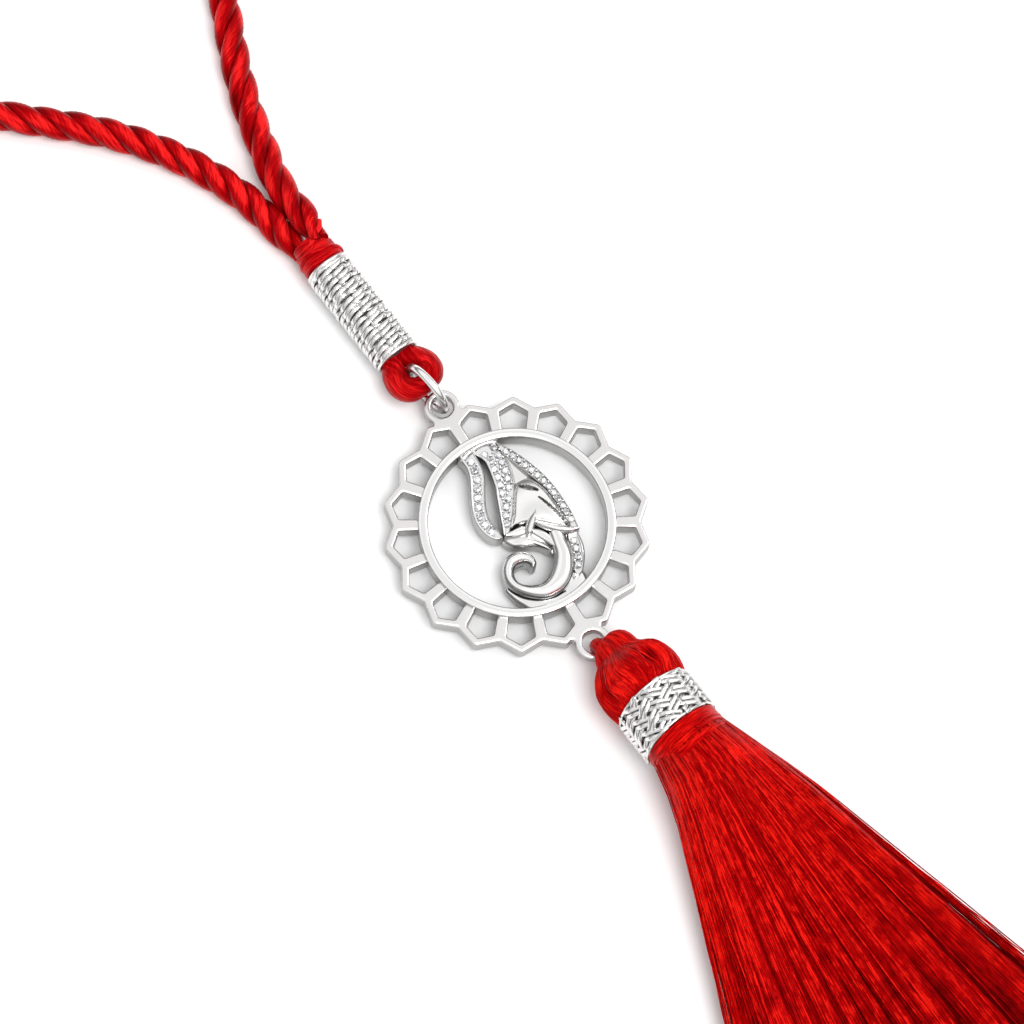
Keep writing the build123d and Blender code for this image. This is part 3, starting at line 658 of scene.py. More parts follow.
def domed(outline, foot, top, middle, radius, cuts=()):
    """Pad inside an outline: a net of small triangles on a ball of the radius with its top over
    the middle, but never under the foot. In the last bit before the outline it falls by the
    square of the way."""
    rows = [outline[-1], *outline, *outline[:2]]
    span, mesh_step, edge, drop = 16, 0.07, 0.4, 0.28
    loop = figure_xy(smooth_line(rows, len(rows) * span))[span:-2 * span]
    turn = np.sum(loop[:, 0] * np.roll(loop[:, 1], -1) - loop[:, 1] * np.roll(loop[:, 0], -1))
    loop = loop if turn > 0 else loop[::-1]
    loop = loop[np.linalg.norm(loop - np.roll(loop, 1, 0), axis=1) > 1e-3]
    count = len(loop)

    def raised(places):
        away = apart(places, loop).min(1)
        reach = np.linalg.norm(places - figure_xy(middle), axis=-1)
        ball = top - radius + np.sqrt(np.maximum(radius ** 2 - reach ** 2, 0))
        height = np.maximum(ball, foot) - drop * (1 - np.clip(away / edge, 0, 1)) ** 2
        height = height - sum(groove(places, band, depth) for band, depth in cuts)
        return np.column_stack([places, PENDANT[2] + height])
    x, y = (np.arange(loop[:, k].min(), loop[:, k].max(), mesh_step) for k in (0, 1))
    fill = np.stack(np.meshgrid(x, y), -1).reshape(-1, 2)
    places = np.concatenate([loop, inset(loop, 0.02), inset(loop, 0.06), fill])
    edges = circuit(0, count)
    clear = np.where(np.arange(len(places)) < 3 * count, 0.015, 0.1)
    keep = within(places, loop[edges]) & (apart(places, loop).min(1) > clear)
    keep[:count] = True
    places, triangles = net(places[keep], edges, 1e-7)
    low = np.column_stack([loop, np.full(count, PENDANT[2] + 0.05)])
    return joined([laid(raised(places), triangles),
                   laid(np.stack([low, raised(loop)]), grid(2, count)[0])])


def set_at(centres, top, rings):
    """Solids of rings of points, one at each centre, with the rings' origin at the top's
    height."""
    points = rings + np.column_stack([centres, np.full(len(centres), top)])[:, None, None]
    return laid(points, *solids(points, flip=True)[0])


def facets(centres, width, top):
    """Brilliants: a table, a crown of stars and kites, a girdle and a pointed pavilion, as rings
    of corners whose radii and heights are shares of the width."""
    # Radius of the even and of the odd corners, and height
    rings = ((0.27, 0.27, 0.0), (0.4, 0.37, -0.075), (0.5, 0.5, -0.17), (0.5, 0.5, -0.2),
             (0.02, 0.02, -0.56))
    even_r, odd_r, height = np.array(rings).T[..., None]
    number = np.arange(16)
    radius = np.where(number % 2, odd_r, even_r)
    turn = np.arange(len(centres))[:, None, None] * 0.7
    return set_at(centres, top, around(radius, number * np.pi / 8 + turn, height) * width)


def beads(centres, radius, top):
    """Small balls of metal: rings of latitude."""
    tilt = np.linspace(0.05, np.pi - 0.05, 7)[:, None]
    return set_at(centres, top, around(np.sin(tilt), corner_angles(10), np.cos(tilt)) * radius)


def stone_centres(node, width):
    """Middle of each stone of a field: tops of the solid that lie within a width of each other."""
    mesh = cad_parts[node].data
    points = np.empty(len(mesh.vertices) * 3)
    mesh.vertices.foreach_get("co", points)
    points = points.reshape(-1, 3) * 1000
    left = points[points[:, 2] > points[:, 2].max() - 0.01, :2]
    centres = []
    while len(left):
        near = np.linalg.norm(left - left[0], axis=1) < width * 0.62
        centres.append((left[near].min(0) + left[near].max(0)) / 2)
        left = left[~near]
    return np.array(centres)


def set_field(node, width):
    """Stones of one field, and the places of the beads that hold them: beside the middle of each
    pair of neighbours, clear of every stone."""
    centres = stone_centres(node, width)
    first, second = np.nonzero(np.triu(apart(centres, centres) < 1.45 * width, 1))
    middle = (centres[first] + centres[second]) / 2
    across = unit(centres[first] - centres[second])[:, ::-1] * (1, -1) * width * 0.46
    places = np.concatenate([middle + across, middle - across])
    return centres, places[apart(places, centres).min(1) > width / 2 + 0.04]


def plate_shape():
    """Petals: an outer outline of tips, valleys and lugs, an inner one of openings and spokes.
    Each corner goes with the radius that rounds it."""
    step = 360 / PETALS
    tip_round, valley_round, foot_round, hole_round = 0.5, 0.3, 0.25, 0.22
    lug_foot = (1.36, 12.0)
    under_ring = RING_R - 0.3
    outer, inner = [], []
    widening = math.sin(math.radians(step / 2))
    shoulder, foot = (widening * r - SPOKE_HALF for r in (SHOULDER_R, RING_R))
    opening = ((foot, under_ring, 0), (shoulder, SHOULDER_R, hole_round), (0, APEX_R, hole_round),
               (-shoulder, SHOULDER_R, hole_round), (-foot, under_ring, 0))
    for middle in step * np.arange(PETALS):
        outer.append((*polar(TIP_R, middle), tip_round))
        if (middle + step / 2) % 180 == 90:
            sign = 1 if middle < 180 else -1
            x, y = sign * np.array(lug_foot)
            lug = sign * ((0, LUG_Y) + polar(LUG_R, np.linspace(-28, 208, 33)))
            outer += [(x, y, foot_round), *np.insert(lug, 2, 0, axis=1), (-x, y, foot_round)]
        else:
            outer.append((*polar(VALLEY_R, middle + step / 2), valley_round))
        inner += [(*(out * polar(1, middle) - across * polar(1, middle + 90)), radius)
                  for across, out, radius in opening]
    holes = [(0, sign * LUG_Y) + polar(LUG_HOLE_R, np.linspace(360, 0, 48, False))
             for sign in (1, -1)]

    def back(place):
        # The lugs' backs lie 0.7 mm higher, after a step between 11.9 and 12.5 mm out
        across, out = np.abs(place).T
        return 0.7 * ease((out - 11.9) / 0.6) * (across < 1.9)
    points, faces, uvs = edged_plate([rounded(outer), rounded(inner)[::-1], *holes], back,
                                     PETAL_T, 0.25)
    return points + PENDANT, faces, uvs


def ring_shape():
    """Ring: flat back, upright walls and a top that falls by the square of the distance to its
    middle, with rounded edges; a profile of radius and height turned round the upright axis."""
    across = np.linspace(BORE_R + 0.08, RING_R - 0.08, 11)
    middle = (BORE_R + RING_R) / 2
    crown = np.column_stack([across, RING_T - 0.07 * ((across - middle) / 0.37) ** 2])
    rows = [(BORE_R, 0.05), (BORE_R, RING_T - 0.22), (BORE_R + 0.02, RING_T - 0.15), *crown,
            (RING_R - 0.02, RING_T - 0.13), (RING_R, RING_T - 0.2), (RING_R, 0.05),
            (RING_R - 0.05, 0.0), (BORE_R + 0.05, 0.0)]
    radius, height = np.array(rows).T
    points = PENDANT + around(radius, corner_angles(288)[:, None], height)
    return laid(points, grid(*points.shape[:2], closed=True)[0])


def figure_shapes():
    """All parts of the figure's relief."""
    tusk = ((-1, 0, 0), (-1, 0, 2.5), (-0.8, 0, 2.78), (-0.65, 0, 2.88), (-0.5, 0, 2.88),
            (0.9, 0, 2.5), (1, 0, 2.4), (1, 0, 0))
    return [
        domed(CHIN_PLATE, 0.9, 1.7, (2, -18), 4.6),
        domed(BACK_PLATE, 0.9, 1.25, (-10, -88), 20),
        relief(TRUNK, ridge(0.5, 1.1, 0.2), 200),
        relief(TRUNK_FIELD, set_band(1.75, 0.1, 0.16), 90, blunt=False),
        domed(EAR_ROOT, 1.86, 1.98, (8, 96), 30),
        relief(EAR_BAND, set_band(SEAT, 0.14, 0.32), 160, blunt=False),
        relief(EAR_LEAF, set_band(SEAT, 0.12, 0.3), 160, blunt=False),
        relief(CREST, set_band(SEAT, 0.12, 0.14), 120),
        relief(TRUNK_CROWN, ridge(1.8, 2.4), 240, blunt=False),
        domed(FACE, 1.65, 2.7, (28, 0), 6.0, ((EYE_GROOVE, 0.75), (CHEEK_GROOVE, 0.6))),
        relief(JAW_BAND, ridge(2.05, 2.6), 80, blunt=False),
        relief(TUSK, tusk, 60, blunt=False),
        relief(LIP, ridge(1.8, 2.12, 0.5), 60, blunt=False),
        relief(CHIN_FOLD, ridge(1.3, 1.7), 60, blunt=False),
        relief(CHIN_RIDGE, ridge(1.75, 2.1, 0.5), 60, blunt=False),
    ]


def slit_shapes():
    """Painted shadow: dark sheets at the bottoms of the mouth's two slits and of the cut under the
    trunk.
    """
    return [relief(LEFT_SLIT, slit(2.06), 40), relief(RIGHT_SLIT, slit(2.0), 50),
            relief(TRUNK_SLIT, slit(1.35), 60)]


def heading(yaw):
    """Unit vector on the floor, yaw degrees to the left of +Y."""
    return np.array([-math.sin(math.radians(yaw)), math.cos(math.radians(yaw)), 0.0])


def cord_line():
    """Points of the cord's own smooth line, in millimetres."""
    curve = bpy.data.curves.new("cord_line", "CURVE")
    curve.dimensions = "3D"
    curve.resolution_u = 48
    spline = curve.splines.new("NURBS")
    spline.points.add(len(CORD_ROUTE) - 1)
    spline.points.foreach_set("co", np.column_stack([CORD_ROUTE, np.ones(len(CORD_ROUTE))]).ravel())
    spline.order_u = 3
    spline.use_endpoint_u = True
    holder = bpy.data.objects.new("cord_line", curve)
    mesh = bpy.data.meshes.new_from_object(holder)
    points = np.empty(len(mesh.vertices) * 3)
    mesh.vertices.foreach_get("co", points)
    bpy.data.objects.remove(holder)
    bpy.data.curves.remove(curve)
    bpy.data.meshes.remove(mesh)
    return points.reshape(-1, 3) * 1000


def even(line, step):
    """Points at even steps along a line."""
    walked = lengths(line)
    count = int(walked[-1] / step) + 1
    wanted = np.linspace(0, walked[-1], count)
    return np.stack([np.interp(wanted, walked, line[:, k]) for k in range(3)], -1), wanted


def cord_shape(line):
    """Three plies round the cord's line: each runs on a helix that turns once in 8.7 mm at the
    first end and ever slower, and is an oval tube with fine yarns twisted the other way, so that
    its fibres lie along the cord. Near the binding the plies draw together."""
    ends = [line[0] - unit(line[1] - line[0]) * 1.4, line[-1] + unit(line[-1] - line[-2]) * 1.4]
    centre, walked = even(np.concatenate([ends[:1], line, ends[1:]]), 0.2)
    ahead = unit(np.gradient(centre, axis=0))
    side = unit(np.cross(ahead, (0, 0, 1)))
    up = np.cross(side, ahead)
    left = walked[-1] - walked
    full = 0.66 + 0.34 * ease((np.minimum(walked, left) - 0.9) / 2.0)
    # Beside the fork the strand of the far end leans on the other one
    lean = 0.4 * np.sin(np.pi * np.clip((left - 1.5) / 11, 0, 1)) ** 2
    centre = centre + (0, 0, 0.16) - lean[:, None] * (1, 0, 0)
    plies, first_turn, last_turn, out_from_middle, high, wide = 3, 8.7, 9.65, 0.78, 0.71, 0.84
    turn = 2 * np.pi * walked / (first_turn + (last_turn - first_turn) * walked / walked[-1])
    angle = -(turn + corner_angles(plies)[:, None])[..., None]
    outward = side * np.cos(angle) + up * np.sin(angle)
    lines = centre + outward * (out_from_middle * full)[:, None]
    sides, yarns, twist = 20, 8, -0.75
    angle = corner_angles(sides, -np.pi)
    walked = lengths(lines)[..., None]
    # Painted highlight and shade: each ply is lighter on its outer side, darker towards the cord's
    # middle and in the grooves between its yarns
    shade = 0.24 * np.cos(angle - 0.5) + 0.07 * np.cos(yarns * (angle - twist * walked)) + (
        0.1 * np.sin(1.9 * walked + 2 * angle) - 0.09)
    shape = tubes(lines, outward, high * full, wide * full, sides, yarns, 0.03, twist)
    return shape, shade.ravel()


def wound_line(place, first, run, turns, radius, per_turn, wander=None):
    """Helix round an axis: the angle grows evenly with the distance from first over the run, and
    the radius is a function of the turns and the share of the run. Returns points and outward."""
    share = np.linspace(0, 1, max(int(turns * per_turn), 2))
    stray = wander(turns * share) if wander else 0.0
    return place(first + share * run + stray, 2 * np.pi * turns * share,
                 radius(turns * share, share))


def collar_shapes():
    """Wound and woven collar: one thread goes round and round, over one column and under the
    next; three and a half waves a turn, so that each turn lies over where the last lay under.
    The hand that wound it let the waves drift a little."""
    place = on_axis(COLLAR_MOUTH, heading(COLLAR_YAW))

    def wave(turn):
        return 2 * np.pi * 3.5 * turn + 0.35 * np.sin(1.7 * turn) + 0.2 * np.sin(4.3 * turn)
    line, out = wound_line(
        place, 0.32, COLLAR_SEEN - 0.64, 37, lambda turn, share: 1.97
        + 0.22 * np.tanh(2.2 * np.sin(wave(turn))) + 0.03 * np.sin(turn * 5.3), 72,
        lambda turn: 0.14 * np.cos(wave(turn)) + 0.05 * np.sin(turn * 2.4)
        + 0.03 * np.sin(turn * 7.3))
    thread = tubes(line, out, 0.14, 0.25, 8)
    core = turned([(0.1, 1.66), (0.12, 1.72), (COLLAR_SEEN - 0.12, 1.72),
                   (COLLAR_SEEN - 0.1, 1.66)], 48, place)
    rims = []
    for where in (0.17, COLLAR_SEEN - 0.5, COLLAR_SEEN - 0.16):
        line, out = wound_line(place, where - 0.02, 0.04, 1.02, lambda turn, share: 2.1, 90)
        rims.append(tubes(line, out, 0.17, 0.19, 10))
    return joined([thread, *rims]), core


def band_shapes():
    """Braided band: two families of paired threads wind opposite ways, one family over the other
    in every second row, as the cosine of the distance along the band swells their radius."""
    rows, pairs, margin = 6.0, 9, 0.16
    way, pair, twin = (part.reshape(-1, 1) for part in np.meshgrid(
        (1, -1), np.arange(pairs), (-0.25, 0.25), indexing="ij"))
    walked = np.linspace(0, 1, 64)
    angle = 2 * np.pi * pair / pairs + way * np.pi / pairs * rows * (walked - 0.5)
    along = 0.18 + (BAND_LENGTH - 0.36) * walked + twin + 0.03 * np.sin(5 * pair + way)
    reach = 0.02 * np.sin(7 * pair) + way * 0.17 * np.cos(np.pi * rows * (walked - 0.5))
    lines, outward = on_tassel(HEAD_LENGTH + np.clip(along, margin, BAND_LENGTH - margin), angle,
                               BAND_R + reach)
    threads = tubes(lines, outward, 0.15, 0.23, 8)
    rims = []
    for place in (0.14, BAND_LENGTH - 0.14):
        line, out = on_tassel(HEAD_LENGTH + place, np.linspace(0, 2 * np.pi, 120), BAND_R + 0.03)
        rims.append(tubes(line, out, 0.16, 0.15, 8))
    core = turned([(HEAD_LENGTH + 0.02, 3.4), (HEAD_LENGTH + 0.04, 3.6),
                   (HEAD_LENGTH + BAND_LENGTH - 0.04, 3.6),
                   (HEAD_LENGTH + BAND_LENGTH - 0.02, 3.4)], 64, on_tassel)
    return joined([threads, *rims]), core


def yarn_winding(place, first, run, turns, radius, thick, wide, seed, slip=0.12):
    """Wound yarn: a helix whose turns lie side by side, each a little higher or lower."""
    rng = np.random.default_rng(seed)
    steps = np.arange(int(turns * 3) + 4) / 3
    wobble, stray = rng.uniform(-0.06, 0.06, len(steps)), rng.uniform(-slip, slip, len(steps))
    line, out = wound_line(
        place, first, run, turns,
        lambda turn, share: radius(share) + np.interp(turn, steps, wobble), 60,
        lambda turn: np.interp(turn, steps, stray))
    return tubes(line, out, thick, wide, 14, 7, 0.05, 2.2)


def binding_shapes():
    """Red binding over the cord's ends: a tapered core, wound yarn and two crossing turns."""
    place = on_axis(COLLAR_MOUTH, heading(COLLAR_YAW))
    foot = COLLAR_SEEN + 0.04
    run = COLLAR_LENGTH + BINDING_RUN - foot

    def taper(share):
        return 1.97 - 0.46 * share ** 1.5
    core = turned([(foot, 1.7), (foot + 0.05, 1.88), (foot + 1.8, 1.72),
                   (foot + run - 0.45, 1.42), (foot + run - 0.4, 1.2)], 64, place)
    winding = yarn_winding(place, foot + 0.2, run - 0.45, 9, taper, 0.17, 0.2, 3)
    cross = yarn_winding(place, foot + 0.5, run - 0.9, 0.72,
                         lambda share: taper(share) + 0.17, 0.13, 0.22, 5)
    back = yarn_winding(place, foot + run - 0.5, 0.9 - run, 0.8,
                        lambda share: taper(1 - share) + 0.14, 0.13, 0.2, 6)
    return joined([core, winding, cross, back])


def whipping_shape():
    """Red whipping under the band: wound yarn over a core."""
    first = HEAD_LENGTH + BAND_LENGTH + 0.15
    winding = yarn_winding(on_tassel, first, WHIPPING_LENGTH - 0.5, 15,
                           lambda share: 3.74 + 0.06 * share, 0.12, 0.14, 8, 0.16)
    core = turned([(first, 3.4), (first + 0.02, 3.66), (first + 1.9, 3.76), (first + 1.95, 3.4)],
                  64, on_tassel)
    return joined([winding, core])


def bridge_shape():
    """Loose end of the binding's yarn: it leaves the wound turns and crosses to the nearer
    strand of the cord."""
    rows = [(-6.35, 52.9, 3.1), (-5.95, 53.6, 3.6), (-5.25, 54.3, 4.0), (-4.55, 54.75, 4.1),
            (-3.9, 55.2, 4.15), (-3.5, 55.9, 3.75)]
    return tubes(smooth_line(rows, 40), (0.0, 0.0, 1.0), 0.15, 0.24, 12, 5, 0.05, 1.5)


def eye_shape():
    """Fold of silk cord round the jump ring: two legs leave the collar side by side, swell and
    meet in a round nose. The section is an oval with fine twisted yarns."""
    along, across = heading(RING_YAW), heading(RING_YAW + 90)
    slot = np.array([PENDANT[0], PENDANT[1] + LUG_Y, 0]) + along * 4.4
    # Along the collar from the slot, to the side, height and radius
    leg = np.array([(3.1, 0.62, 2.3, 0.8), (2.2, 0.72, 2.3, 0.9), (1.3, 1.05, 2.35, 1.1),
                    (0.4, 1.46, 2.5, 1.24), (-0.6, 1.6, 2.75, 1.27), (-1.45, 1.15, 3.05, 1.18)])
    line = smooth_line([*leg, (-1.8, 0.0, 3.15, 0.96), *leg[::-1] * (1, -1, 1, 1)], 150)
    path = slot + line[:, :3] @ np.stack([along, across, (0, 0, 1)])
    sides, yarns, twist = 44, 13, 0.3
    angle = corner_angles(sides, -np.pi)
    # Painted shade: lighter on each yarn's crown, darker in the grooves between yarns
    shade = 0.06 + 0.03 * np.cos(yarns * (angle - twist * lengths(path)[:, None]))
    return tubes(path, (0.0, 0.0, 1.0), line[:, 3], line[:, 3], sides, yarns, 0.016,
                 twist), shade.ravel()


def jump_ring_shape():
    """Wire ring: a small circle carried round a big one, with the fine gap of its butt joint."""
    big, wire, count, half_gap = 2.5, 0.4, 130, 0.02
    along = heading(RING_YAW)
    middle = np.array([PENDANT[0], PENDANT[1] + LUG_Y, 2.95]) + along * 2.1
    angle = np.linspace(half_gap, 2 * np.pi - half_gap, count)[:, None] - 2.0
    out = np.cos(angle) * along + np.sin(angle) * (0, 0, 1)
    number = np.arange(count)
    near_end = np.minimum(number, number[::-1])
    thick = wire * (0.86 + 0.14 * np.clip(near_end / 2.0, 0, 1))
    return tubes(middle + big * out, out, thick, thick, 24)


TASSEL_LINE = (
    # distance from the top of the head, x, y, z, height of the section as a share of its width
    (-1.4, -2.6, 7.5, 4.3, 0.5),
    (0.0, -2.2, 6.1, 4.25, 0.72),
    (1.5, -2.05, 4.6, 4.2, 1.0),
    (3.0, -1.87, 3.1, 4.17, 1.0),
    (6.0, -1.6, 0.1, 4.16, 1.0),
    (8.0, -1.4, -1.9, 4.16, 1.0),
    (10.0, -1.18, -3.95, 4.15, 1.0),
    (12.9, -0.75, -6.85, 4.12, 1.0),
)


HEAD_PROFILE = ((-1.2, 0.5), (-1.05, 1.0), (-0.7, 1.55), (-0.2, 1.95), (0.25, 2.08), (0.65, 2.16),
                (1.0, 2.5), (1.5, 3.15), (2.1, 3.62), (2.8, 3.93), (3.7, 4.08), (4.6, 4.05),
                (5.4, 3.9), (5.85, 3.76), (5.97, 3.6), (5.99, 3.3))


def combed(angle, height):
    """Angle at which a thread of the head lies at a height, and the swelling of its lock: both
    are sines of the angle it starts from, so neighbours stay side by side."""
    turned_to = angle + 0.05 * np.sin(1.1 * height + 2 * angle) + 0.015 * np.sin(
        2.2 * height + 5 * angle)
    fade = np.clip(height + 1.2, 0, 1) * np.clip((6.2 - height) / 1.5, 0, 1)
    swell = 0.04 * np.abs(np.cos(3 * angle + 0.3 * np.sin(1.3 * height))) + 0.015 * np.abs(
        np.cos(7 * angle + 1.0))
    # Hollow where a lock folds under its neighbour, on the upper right; through the shade attribute
    # it is also painted dark
    hollow = np.exp(-((angle - 1.9) / 0.14) ** 2 - ((height - 3.1) / 0.8) ** 2)
    return turned_to, fade * (swell - 0.035 - 0.11 * hollow)


def head_shape():
    """Head: a turned profile whose radius is swollen by locks of silk and by fine threads."""
    rows = smooth_line(HEAD_PROFILE, 60)
    angle = corner_angles(360)
    turned_to, swell = combed(angle, rows[:, :1])
    radius = rows[:, 1:] * (1 + swell + 0.006 * np.cos(76 * angle) + 0.004 * np.cos(113 * angle))
    points, _ = on_tassel(rows[:, :1], turned_to, radius)
    # Painted shade: the colour follows the swelling, lighter on the locks, darker in their creases
    # and in the hollow
    return wrapped(points, rows, HEAD_GIRTH_R), (0.06 + 3.5 * swell).ravel()


def combed_lay(shape, across, along):
    """The shape of thin tubes with one lay for all of them, so that tufts go on from thread to
    thread: each point's uv is its line's way across and along."""
    points, faces, _ = shape
    flow = np.stack(np.broadcast_arrays(across, along), -1).reshape(-1, 2)
    flow = np.repeat(flow, len(points) // len(flow), 0)
    return points, faces, [flow[face] for face in faces]


def head_threads():
    """Loose threads combed over the head, each along its own lock."""
    rng = np.random.default_rng(11)
    count, sides = 300, 4
    height, widest = smooth_line(HEAD_PROFILE, 23)[1:-1].T
    start = rng.uniform(0, 2 * np.pi, (count, 1))
    angle, swell = combed(start, height)
    angle = angle + rng.normal(0, 0.012, (count, 1)) * height
    reach = widest * (1 + swell) + rng.uniform(-0.02, 0.07, (count, 1))
    lines, out = on_tassel(height, angle, reach)
    # Random tone plus painted shade: darker in the locks' creases and in the hollow
    tone = rng.normal(0.1, 0.07, (count, 1)) + 3.5 * swell
    shape = combed_lay(tubes(lines, out, 0.05, 0.08, sides), HEAD_GIRTH_R * start, height)
    return shape, np.repeat(tone.ravel(), sides)


def loop_shape():
    """Silk of the head looped through the lug: a closed upright oval, spread wide over the lug."""
    hole = np.array([PENDANT[0], PENDANT[1] - LUG_Y, 2.2])
    along = unit(np.array([0.3, -1.85, 0]))
    angle = np.linspace(0, 2 * np.pi, 90)
    rise, reach = np.sin(angle)[:, None] * (0, 0, 1), np.cos(angle)[:, None] * along
    wide = 0.6 + 0.75 * np.clip(np.sin(angle), 0, 1) * (0.6 + 0.4 * np.cos(angle))
    return tubes(hole + along * 1.75 + 1.38 * reach + 1.5 * rise, reach + rise, 0.56, wide, 30,
                 11, 0.04, 0.3)


SKIRT = (
    # y, middle's x, half width, half thickness, height of the middle
    (-4.6, -1.05, 3.5, 3.5, 4.15),
    (-5.6, -0.93, 4.2, 4.1, 4.15),
    (-6.4, -0.8, 4.45, 4.2, 4.22),
    (-7.4, -0.62, 4.66, 4.15, 4.15),
    (-8.8, -0.4, 4.95, 3.85, 3.87),
    (-11.4, -0.12, 6.05, 3.2, 3.55),
    (-14.2, 0.0, 7.15, 3.0, 3.3),
    (-24.0, 0.05, 10.55, 2.6, 2.95),
    (-33.8, 0.05, 13.95, 2.4, 2.8),
    (-43.6, 0.02, 17.05, 2.25, 2.65),
    (-55.3, 0.0, 18.45, 2.15, 2.55),
)


def skirt_at(share, angle, depth):
    """Point of the skirt: its middle, plus half width times the cosine of an angle sideways and
    half thickness times the sine upwards, both times a depth."""
    table = smooth_line(SKIRT, 200)
    y = SKIRT[0][0] + share * (SKIRT[-1][0] - SKIRT[0][0])
    middle, wide, thick, height = (np.interp(-y, -table[:, 0], table[:, k]) for k in (1, 2, 3, 4))
    return np.stack(np.broadcast_arrays(middle + depth * wide * np.cos(angle), y,
                                        height + depth * thick * np.sin(angle)), -1)


def skirt_lock(across):
    """Lock of silk at a place across the skirt: its number, the place in locks, and how near the
    place is to the gap between two locks, from 0 to 1."""
    phase = LOCKS * across + 0.5 * np.sin(4.1 * across + 0.6)
    lock = np.round(phase)
    return lock, phase, 2 * np.abs(lock - phase)


def skirt_threads(count, seed, deep, shallow, draw):
    """Threads of the skirt: each keeps its angle round the flat oval while it runs out, drawn
    towards the middle of its lock by a share that grows with the distance, crimped by a small
    wave. Cosine-spaced angles put as many threads on the broad faces as their width needs."""
    rng = np.random.default_rng(seed)

    def drawn(low, high):
        return rng.uniform(low, high, (count, 1))
    sides = 3
    share = np.linspace(0, 1, 20)[None] ** 0.9
    across = drawn(-1, 1)
    face = rng.choice([-1.0, 1.0], (count, 1), p=[0.34, 0.66])
    lock, phase, edge = skirt_lock(across)
    parted = 0.4 + 0.6 * np.abs(np.sin(lock * 1.7))
    pull = draw * share ** 1.5 * (0.4 + 0.6 * np.abs(np.sin(lock * 2.4 + 1)))
    sway = rng.normal(0, 0.012, (count, 1)) * np.sin(share * drawn(2, 6))
    crimp = 0.003 * np.sin(share * drawn(40, 80) + drawn(0, 6))
    moved = np.clip(across + (lock - phase) / LOCKS * pull + sway + crimp, -0.9999, 0.9999)
    angle = face * np.arccos(moved)
    tuft = np.abs(np.sin(53 * across + 4 * np.sin(3 * across)))
    depth = drawn(deep, shallow) - share * (0.2 * edge ** 3 * parted + 0.03 * tuft ** 4)
    loose = drawn(0, 1) > 0.985
    depth = depth + 0.035 * loose * np.sin(np.pi * share)
    # They come out between the last turns of the whipping, each at its own place
    depth = depth + drawn(-0.03, 0.15) * np.exp(-((share - 0.022) / 0.032) ** 2)
    lines = skirt_at(share * drawn(0.985, 1.0), angle, depth)
    outward = np.stack([np.cos(angle) * 0.6, 0 * angle, np.sin(angle)], -1)
    # Painted shade: threads grow darker along their length near the gaps between locks, and where
    # they sink in tufts
    gap = edge ** 2 * (0.4 + 1.0 * np.abs(np.sin(lock * 1.7)))
    tone = rng.normal(0.06, 0.09, (count, 1)) - 0.1 * share * tuft ** 4 - share ** 1.6 * gap
    shape = combed_lay(tubes(lines, outward, 0.07, 0.09, sides), 9 * across, lengths(lines))
    return shape, np.repeat(tone.ravel(), sides)


def skirt_body():
    """Body of the skirt under its loose threads: the same ovals, sunk where its locks part."""
    share = np.linspace(0, 0.99, 48)[:, None]
    angle = corner_angles(420)
    sunk = share * skirt_lock(np.cos(angle))[2] ** 3
    points = skirt_at(share, angle, 0.87 - 0.2 * sunk)
    faces, index = solids(points[None])
    points = points.reshape(-1, 3)
    # On the cut end each thread is a dot, so the lay is drawn out tenfold there
    cut = points[faces[1]][..., (0, 2)] * (1, 10)
    # Painted shade: lower than the threads over it, and lower still where its locks part and it
    # sinks
    return (points, faces, [index[..., ::-1] * (0.16, 0.83), cut]), (-0.1 - 0.4 * sunk).ravel()


class RakhiPendant(bpy.types.PropertyGroup):
    """Sizes of the pendant's finish."""
    bead_radius: FloatProperty(name="Bead radius", description="Beads that hold the stones",
                               default=0.00012, unit="LENGTH")
    stone_rise: FloatProperty(name="Stone rise", description="Tables above the metal",
                              default=0.00006, unit="LENGTH")


class RakhiTassel(bpy.types.PropertyGroup):
    """Sizes of the tassel."""
    threads: IntProperty(name="Threads", description="Threads in each layer of the skirt",
                         default=1080, min=10)


class RakhiStage(bpy.types.PropertyGroup):
    """Camera and light."""
    lens: FloatProperty(name="Lens", description="Focal length in millimetres", default=182.2)
    distance: FloatProperty(name="Distance", description="Camera to the middle of the picture",
                            default=0.48, unit="LENGTH")
    key_power: FloatProperty(name="Key light", description="Power of the soft key light",
                             default=5.1, unit="POWER")
    side_power: FloatProperty(name="Side light", description="Power of the light from the right",
                              default=1.7, unit="POWER")


class RAKHI_OT_cord(bpy.types.Operator):
    """Builds the twisted silk cord loop"""
    bl_idname = "rakhi.cord"
    bl_label = "Cord loop"

    def execute(self, context):
        line = cord_line()
        piece = make_piece("silk_cord_loop", "hanging_cord", YARN, *cord_shape(line), 80)
        return {"FINISHED"}


class RAKHI_OT_collar(bpy.types.Operator):
    """Builds the binding, the silver collar, the cord eye and the jump ring"""
    bl_idname = "rakhi.collar"
    bl_label = "Collar, binding, eye and jump ring"

    def execute(self, context):
        woven, core = collar_shapes()
        make_piece("collar_thread", "silver_collar", FOIL, woven, None, 0)
        make_piece("collar_core", "silver_collar", SHADE_CORE, core)
        make_piece("binding_yarn", "cord_binding", YARN, binding_shapes(), 0.12, 60)
        make_piece("binding_end", "cord_binding", YARN, bridge_shape(), 0.4, 60)
        make_piece("silk_eye", "cord_eye", YARN, *eye_shape(), 60)
        make_piece("wire_jump_ring", "jump_ring", BRIGHT, jump_ring_shape())
        return {"FINISHED"}


